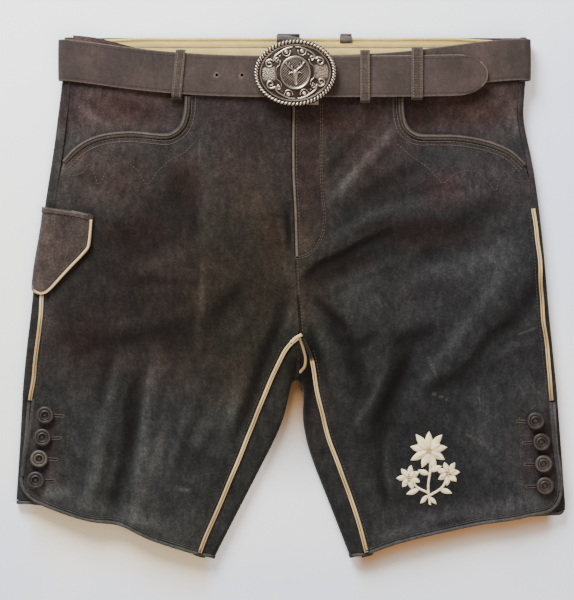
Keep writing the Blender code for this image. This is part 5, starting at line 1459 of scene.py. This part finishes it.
ornament = (  # the lines of one quarter, each with its radius and how thin it ends
    (spiral(24.3, 9.6, 4.9, 0.9, 1.35, 150, -1), 1.25, 0.8),
    (smoothLine((20.1, 12.2, 19.0, 16.2, 13.4, 20.8, 6.0, 24.3, 1.4, 24.9), 6), 1.2, 0.75),
    (spiral(16.4, 13.6, 2.7, 0.6, 1.2, -100, 1, 26), 0.9, 0.75),
    (smoothLine((13.8, 12.4, 14.6, 8.6, 17.8, 5.4, 18.6, 2.2), 5), 0.8, 0.6),
    (spiral(7.6, 20.4, 4.0, 3.9, 0.72, 160, 1, 26), 0.75, 0.8),
)
for number, (su, sv) in enumerate(((-1, -1), (-1, 1), (1, -1), (1, 1)), 1):
    parts = [castLine(np.array(line) * (su, sv), radius, thinnest)
             for line, radius, thinnest in ornament]
    parts.append(castBerry(7.6 * su, 20.4 * sv, 2.5))
    leafAngle = math.atan2(math.sin(-0.5) * sv, math.cos(-0.5) * su)
    parts.append(castLeaf(12.6 * su, 17.6 * sv, leafAngle, 4.6, 2.4))
    cast(joined(f"buckle_scrolls_{number}", parts), 0.25, 1.15, f"buckle_scroll_{number}",
         f"buckle_boss_{number}", overPlate=True)


def hatchedOval():
    # a crowned oval with fine lines crossed on its field and a bead round its edge
    a, b = buckle["oval"]
    rings, around = 44, 150
    places = [(0, 0, 32.8)]
    for share in np.arange(1, rings + 1) / rings:
        for t in 2 * math.pi * np.arange(around) / around:
            u, v = a * share * math.cos(t), b * share * math.sin(t)
            hatch = 1 - max(math.cos((u + v) * 2.5), math.cos((u - v) * 2.5), 0) ** 2
            z = 33.0 - 0.5 * hatch * eased(0.86 - share, 0, 0.03) + 0.75 * bell(share, 0.93, 0.045)
            places.append((u, v, z if share < 0.999 else 32.6))
    places += [(x, y, 31.9) for x, y, _ in places[-around:]]
    faces = [[0, 1 + j, 1 + (j + 1) % around] for j in range(around)]
    faces += gridFaces(rings + 1, around, 1, flip=True)
    faces.append([1 + rings * around + j for j in range(around)][::-1])
    return fromFaces("buckle_oval", onBuckle(places), faces)


cast(hatchedOval(), 32.55, 33.6, "buckle_medallion", degrees=60)
stag = {
    "head": ((-10.2, 0.9, 0.8), (-9.2, 1.7, 1.3), (-7.6, 1.75, 1.5), (-5.2, 1.6, 1.6),
             (-3.2, 2.2, 1.9), (-1.2, 2.7, 2.0), (0.8, 2.3, 1.7), (2.2, 1.3, 1.0)),
    "scale": 1.16,
    "lines": (  # antler, ear and tines: thickness, lift and line
        (1.1, 1.0, 1.2, 1.6, 2.2, 3.4, 4.4, 4.8, 6.2, 6.6, 6.9, 9.2, 6.2, 11.8),
        (1.1, 0.9, 2.2, 0.6, 4.0, 0.6, 5.6, -0.4), (0.8, 1.0, 2.1, 3.2, 2.6, 5.2, 2.2, 6.6),
        (0.8, 1.0, 4.8, 5.1, 4.9, 7.2, 4.4, 8.8), (0.8, 1.0, 6.6, 7.6, 7.8, 8.8, 8.1, 10.2)),
    "level": 32.7,
}


def stagHead():
    n, scale, level, rows = 14, stag["scale"], stag["level"], len(stag["head"])
    places = [(half * math.cos(a) * scale * 1.1, v * scale, level + rise * max(math.sin(a), -0.25))
              for v, half, rise in stag["head"] for a in 2 * math.pi * np.arange(n) / n]
    faces = [*gridFaces(rows, n), list(range(n)), [(rows - 1) * n + k for k in range(n)][::-1]]
    parts = [subdivided(fromFaces("head", onBuckle(places), faces), 2)]
    for way in (-1, 1):
        for thick, lift, *line in stag["lines"]:
            path = [(u * way * scale, (v - 0.6) * scale, level + lift)
                    for u, v in smoothLine(line, 5)]
            parts.append(tube(onBuckle(path), thick, np.linspace(1.0, 0.45, len(path)).tolist()))
        parts.append(tube(onBuckle([(1.5 * way, -1.4, level + 1.5),
                                    (1.9 * way, -0.9, level + 1.55)]), 0.3))
    return joined("buckle_stag_head", parts)


cast(stagHead(), 32.8, 33.7, "buckle_stag")
bar = marked(frame["nodes"]["buckle_bar"], rub=0.55, mark=0)
bar.data.materials.clear()
bar.data.materials.append(finishes["silver"][0])
print("buckle made")


# Embroidered spray on the right leg: satin-stitched petals, leaves and corded stems
spray = {
    "centre": (133.4, -164.9),
    "flowers": (  # place, petals, their length and width, first turn, knots in the middle
        ((0.5, 14.5), 9, 20.0, 7.0, 0.15, 9),
        ((-18.5, -12.0), 7, 12.4, 5.4, 0.5, 5),
        ((19.5, -8.0), 7, 12.4, 5.4, 0.1, 5),
    ),
    "inner": 0.58,
    "stems": ((0.5, 13.0, 1.5, -4.0, -0.5, -20.0, 1.0, -36.5),
              (-18.0, -12.0, -12.0, -21.0, -1.0, -27.0), (19.0, -8.0, 14.0, -20.0, 0.5, -29.5)),
    "cord": 2.2,
    "leaves": (  # place, direction, length and width
        (1.5, -5.5, 0.35, 12.5, 5.6), (0.5, -9.0, 2.75, 11.5, 5.4),
        (-9.0, -23.5, 3.5, 13.0, 5.2), (11.0, -23.0, -0.35, 13.0, 5.2),
        (-0.5, -29.5, 3.95, 10.5, 4.4), (0.8, -30.5, -0.8, 10.5, 4.4),
    ),
    "ribs": 1.3,
    "rise": 1.0,
    "knot": 0.95,
}
sprayX, sprayY = spray["centre"]


def satin(u, v, angle, long, wide, blunt=0.9, lift=0.0):
    # one padded satin shape: threads side by side across a leaf-shaped form
    rows, columns = int(long / spray["ribs"] * 3), 6
    places = []
    for i in range(rows + 1):
        t = i / rows
        half = 0.5 * wide * max(math.sin(math.pi * min(t * 0.93 + 0.07, 1.0)), 0.02) ** blunt
        rib = 0.3 * abs(math.sin(math.pi * i / 3))
        for side in -1 + 2 * np.arange(columns + 1) / columns:
            along, across = t * long + 0.2 * side * half, side * half
            x = sprayX + u + along * math.cos(angle) - across * math.sin(angle)
            y = sprayY + v + along * math.sin(angle) + across * math.cos(angle)
            rise = spray["rise"] * (1 - side * side) ** 0.6 + rib * (1 - abs(side)) + 0.05
            rise *= min(1.0, 4 * t + 0.3, 4 * (1 - t) + 0.3)
            places.append((x, y, topAt(coverTree, x, y)[0] + rise + lift))
    return places, gridFaces(rows + 1, columns + 1, flip=True, closed=False)


def embroidery():
    for line in spray["stems"]:
        for (u, v), (du, dv) in zip(*stepped(smoothLine(line), 1.5)):
            yield satin(u, v, math.atan2(dv, du) + 0.5, 2.7, spray["cord"], 0.5)
    for leaf in spray["leaves"]:
        yield satin(*leaf)
    for (u, v), count, long, wide, first, _ in spray["flowers"]:
        for k in range(count):
            a = first + 2 * math.pi * k / count
            yield satin(u + 2.2 * math.cos(a), v + 2.2 * math.sin(a), a,
                        (long - 2.2) * (1.0 if k % 2 else 0.9), wide)
        for k in range(count - 3):
            a = first + 0.35 + 2 * math.pi * k / (count - 3)
            yield satin(u + 1.2 * math.cos(a), v + 1.2 * math.sin(a), a,
                        long * spray["inner"], wide * 0.72, lift=0.7)


finished(applied(gathered("embroidery_spray", embroidery()), "SOLIDIFY", thickness=0.25 * mm,
                 offset=-1), "creamThread", degrees=50)
knotPlaces, knotFaces = taken(newPrimitive("ico_sphere", subdivisions=2,
                                           radius=spray["knot"] * mm))
knots = []
for (u, v), *_, count in spray["flowers"]:
    for k in range(count):
        reach, a = (1.9 if k else 0.0), 2 * math.pi * k / (count - 1)
        x, y = sprayX + u + reach * math.cos(a), sprayY + v + reach * math.sin(a)
        z, _ = topAt(coverTree, x, y)
        knots.append((knotPlaces * (1, 1, 0.8) + (x, y, z + 2.0), knotFaces))
finished(gathered("embroidery_knots", knots), "goldThread", slot="cream_leather", degrees=60)
print("embroidery made")


# Table, light and camera
stage = {
    "table": 6.0,
    "fine": 0.74,
    "viewHeight": 582.0,
    "middle": (-3.4, -4.85, 2400.0),
    "level": 14.0,
    # painted cool shade on the table: where, half sizes, strength
    "coolShadowPools": ((290, 120, 90, 190, 1.0), (262, -250, 90, 60, 0.5), (-20, -300, 330, 66, 0.6),
              (-290, -250, 70, 90, 0.6)),
}


def tableTop(wire):
    # painted light on the table: paler to the upper left and darker towards the bottom, bluer to
    # the right, painted warm shadow below the leather and painted shade between the legs
    where = wire.places()
    across, up = where.along("X"), where.along("Y")
    haze, glow, shade = wire.named("haze", "glow", "shade")
    cloud = wire.grain(where, 900, 2, 0.5)
    aside = (across * 1.6 - up * 0.5 + 0.5 + (cloud - 0.5) * 0.3).clamped()
    down = (up * -1.5 + across * 0.5 + 0.5).clamped()
    paintedCoolShade = 0.0
    for x, y, wide, high, strength in stage["coolShadowPools"]:
        left, over = (across - x * mm) * (1 / (wide * mm)), (up - y * mm) * (1 / (high * mm))
        paintedCoolShade = (1 - left * left - over * over).rising(0, 1) * strength + paintedCoolShade
    colour = aside.mixed((0.905, 0.920, 0.915, 1), (0.802, 0.836, 0.940, 1))
    colour = paintedCoolShade.clamped().mixed(colour, (0.672, 0.747, 0.945, 1)).scaled(1 - down * 0.12)
    colour = glow.mixed(haze.mixed(colour, (0.640, 0.550, 0.400, 1)), (0.350, 0.205, 0.108, 1))
    return {"Base Color": colour.scaled(1 - shade)}


def edgeReach(x, y, seam, far, low, high):
    # 1 at an edge that lies above, falling to 0 at the far reach, and kept between two sides
    line = seams[seam][np.argsort(seams[seam][:, 0])]
    away, _, _ = nearLine(x, y, line)
    under = y < np.interp(x, line[:, 0], line[:, 1]) + 4
    beneath = eased(x, low - 8, low + 4) * (1 - eased(x, high - 5, high + 6))
    return np.where(under, 1 - eased(away - 5, 0, far), 0) * beneath


table = newPrimitive("grid", x_subdivisions=190, y_subdivisions=190, size=stage["fine"],
                     location=(0, 0, -0.0002))
with editing():
    bpy.ops.mesh.region_to_loop()
    drawnOut((0, 0, 0), (stage["table"] / stage["fine"],) * 2 + (1,))
table.name = "table_top"
x, y, _ = layoutPoints(table).T
legGap = (1 - eased(np.abs(x - 13), 30, 46)) * (1 - eased(y, -76, -60))
# painted warm shadow under the right hem and between the legs, a painted shadow tint below the
# hems, and painted shade deep in the gap
marked(
    table,
    glow=np.maximum(edgeReach(x, y, "hemRight", 26, 68, 254), legGap * (1 - eased(-y, 100, 160))),
    shade=legGap * (0.38 * (1 - eased(-y, 140, 205)) + 0.3 * (1 - eased(-y, 84, 116))),
    haze=np.maximum.reduce([0.95 * edgeReach(x, y, "hemLeft", 62, -252, -80),
                            0.3 * edgeReach(x, y, "hemRight", 60, 68, 254),
                            0.55 * legGap * (1 - eased(-y, 110, 190))]))
table.data.materials.append(material("pale table", tableTop, Roughness=0.9,
                                     Specular_IOR_Level=0.1))


def placed(name, data, place):
    holder = bpy.data.objects.new(name, data)
    bpy.context.scene.collection.objects.link(holder)
    holder.location = place
    return holder


for name, place, size, power, colour in (
    ("window light", (-0.7, 1.7, 1.15), 1.1, 150, (0.90, 0.96, 1.0)),
    ("fill light", (0.7, -0.8, 1.6), 1.6, 34, (1.0, 0.82, 0.62)),
):
    lamp = bpy.data.lights.new(name, "AREA")
    lamp.shape, lamp.size, lamp.energy, lamp.color = "DISK", size, power, colour
    toMiddle = (-Vector(place)).to_track_quat("-Z", "Y")
    placed(name, lamp, place).rotation_euler = toMiddle.to_euler()
world = bpy.data.worlds.new("pale room")
bpy.context.scene.world = world
world.use_nodes = True
background = world.node_tree.nodes["Background"]
background.inputs[0].default_value, background.inputs[1].default_value = (
    (0.98, 0.90, 0.82, 1), 0.62)

view = bpy.data.cameras.new("view from above")
view.sensor_width = 36
view.lens = 36 * (stage["middle"][2] - stage["level"]) / stage["viewHeight"]
view.clip_start, view.clip_end = 0.05, 20
bpy.context.scene.camera = placed(
    "view from above", view, ((np.array(stage["middle"]) + layoutShift) * mm).tolist())

for name, (_, flat, area, under) in cloth.items():
    [pieces[n] for n in sewnOn.get(name, ())]
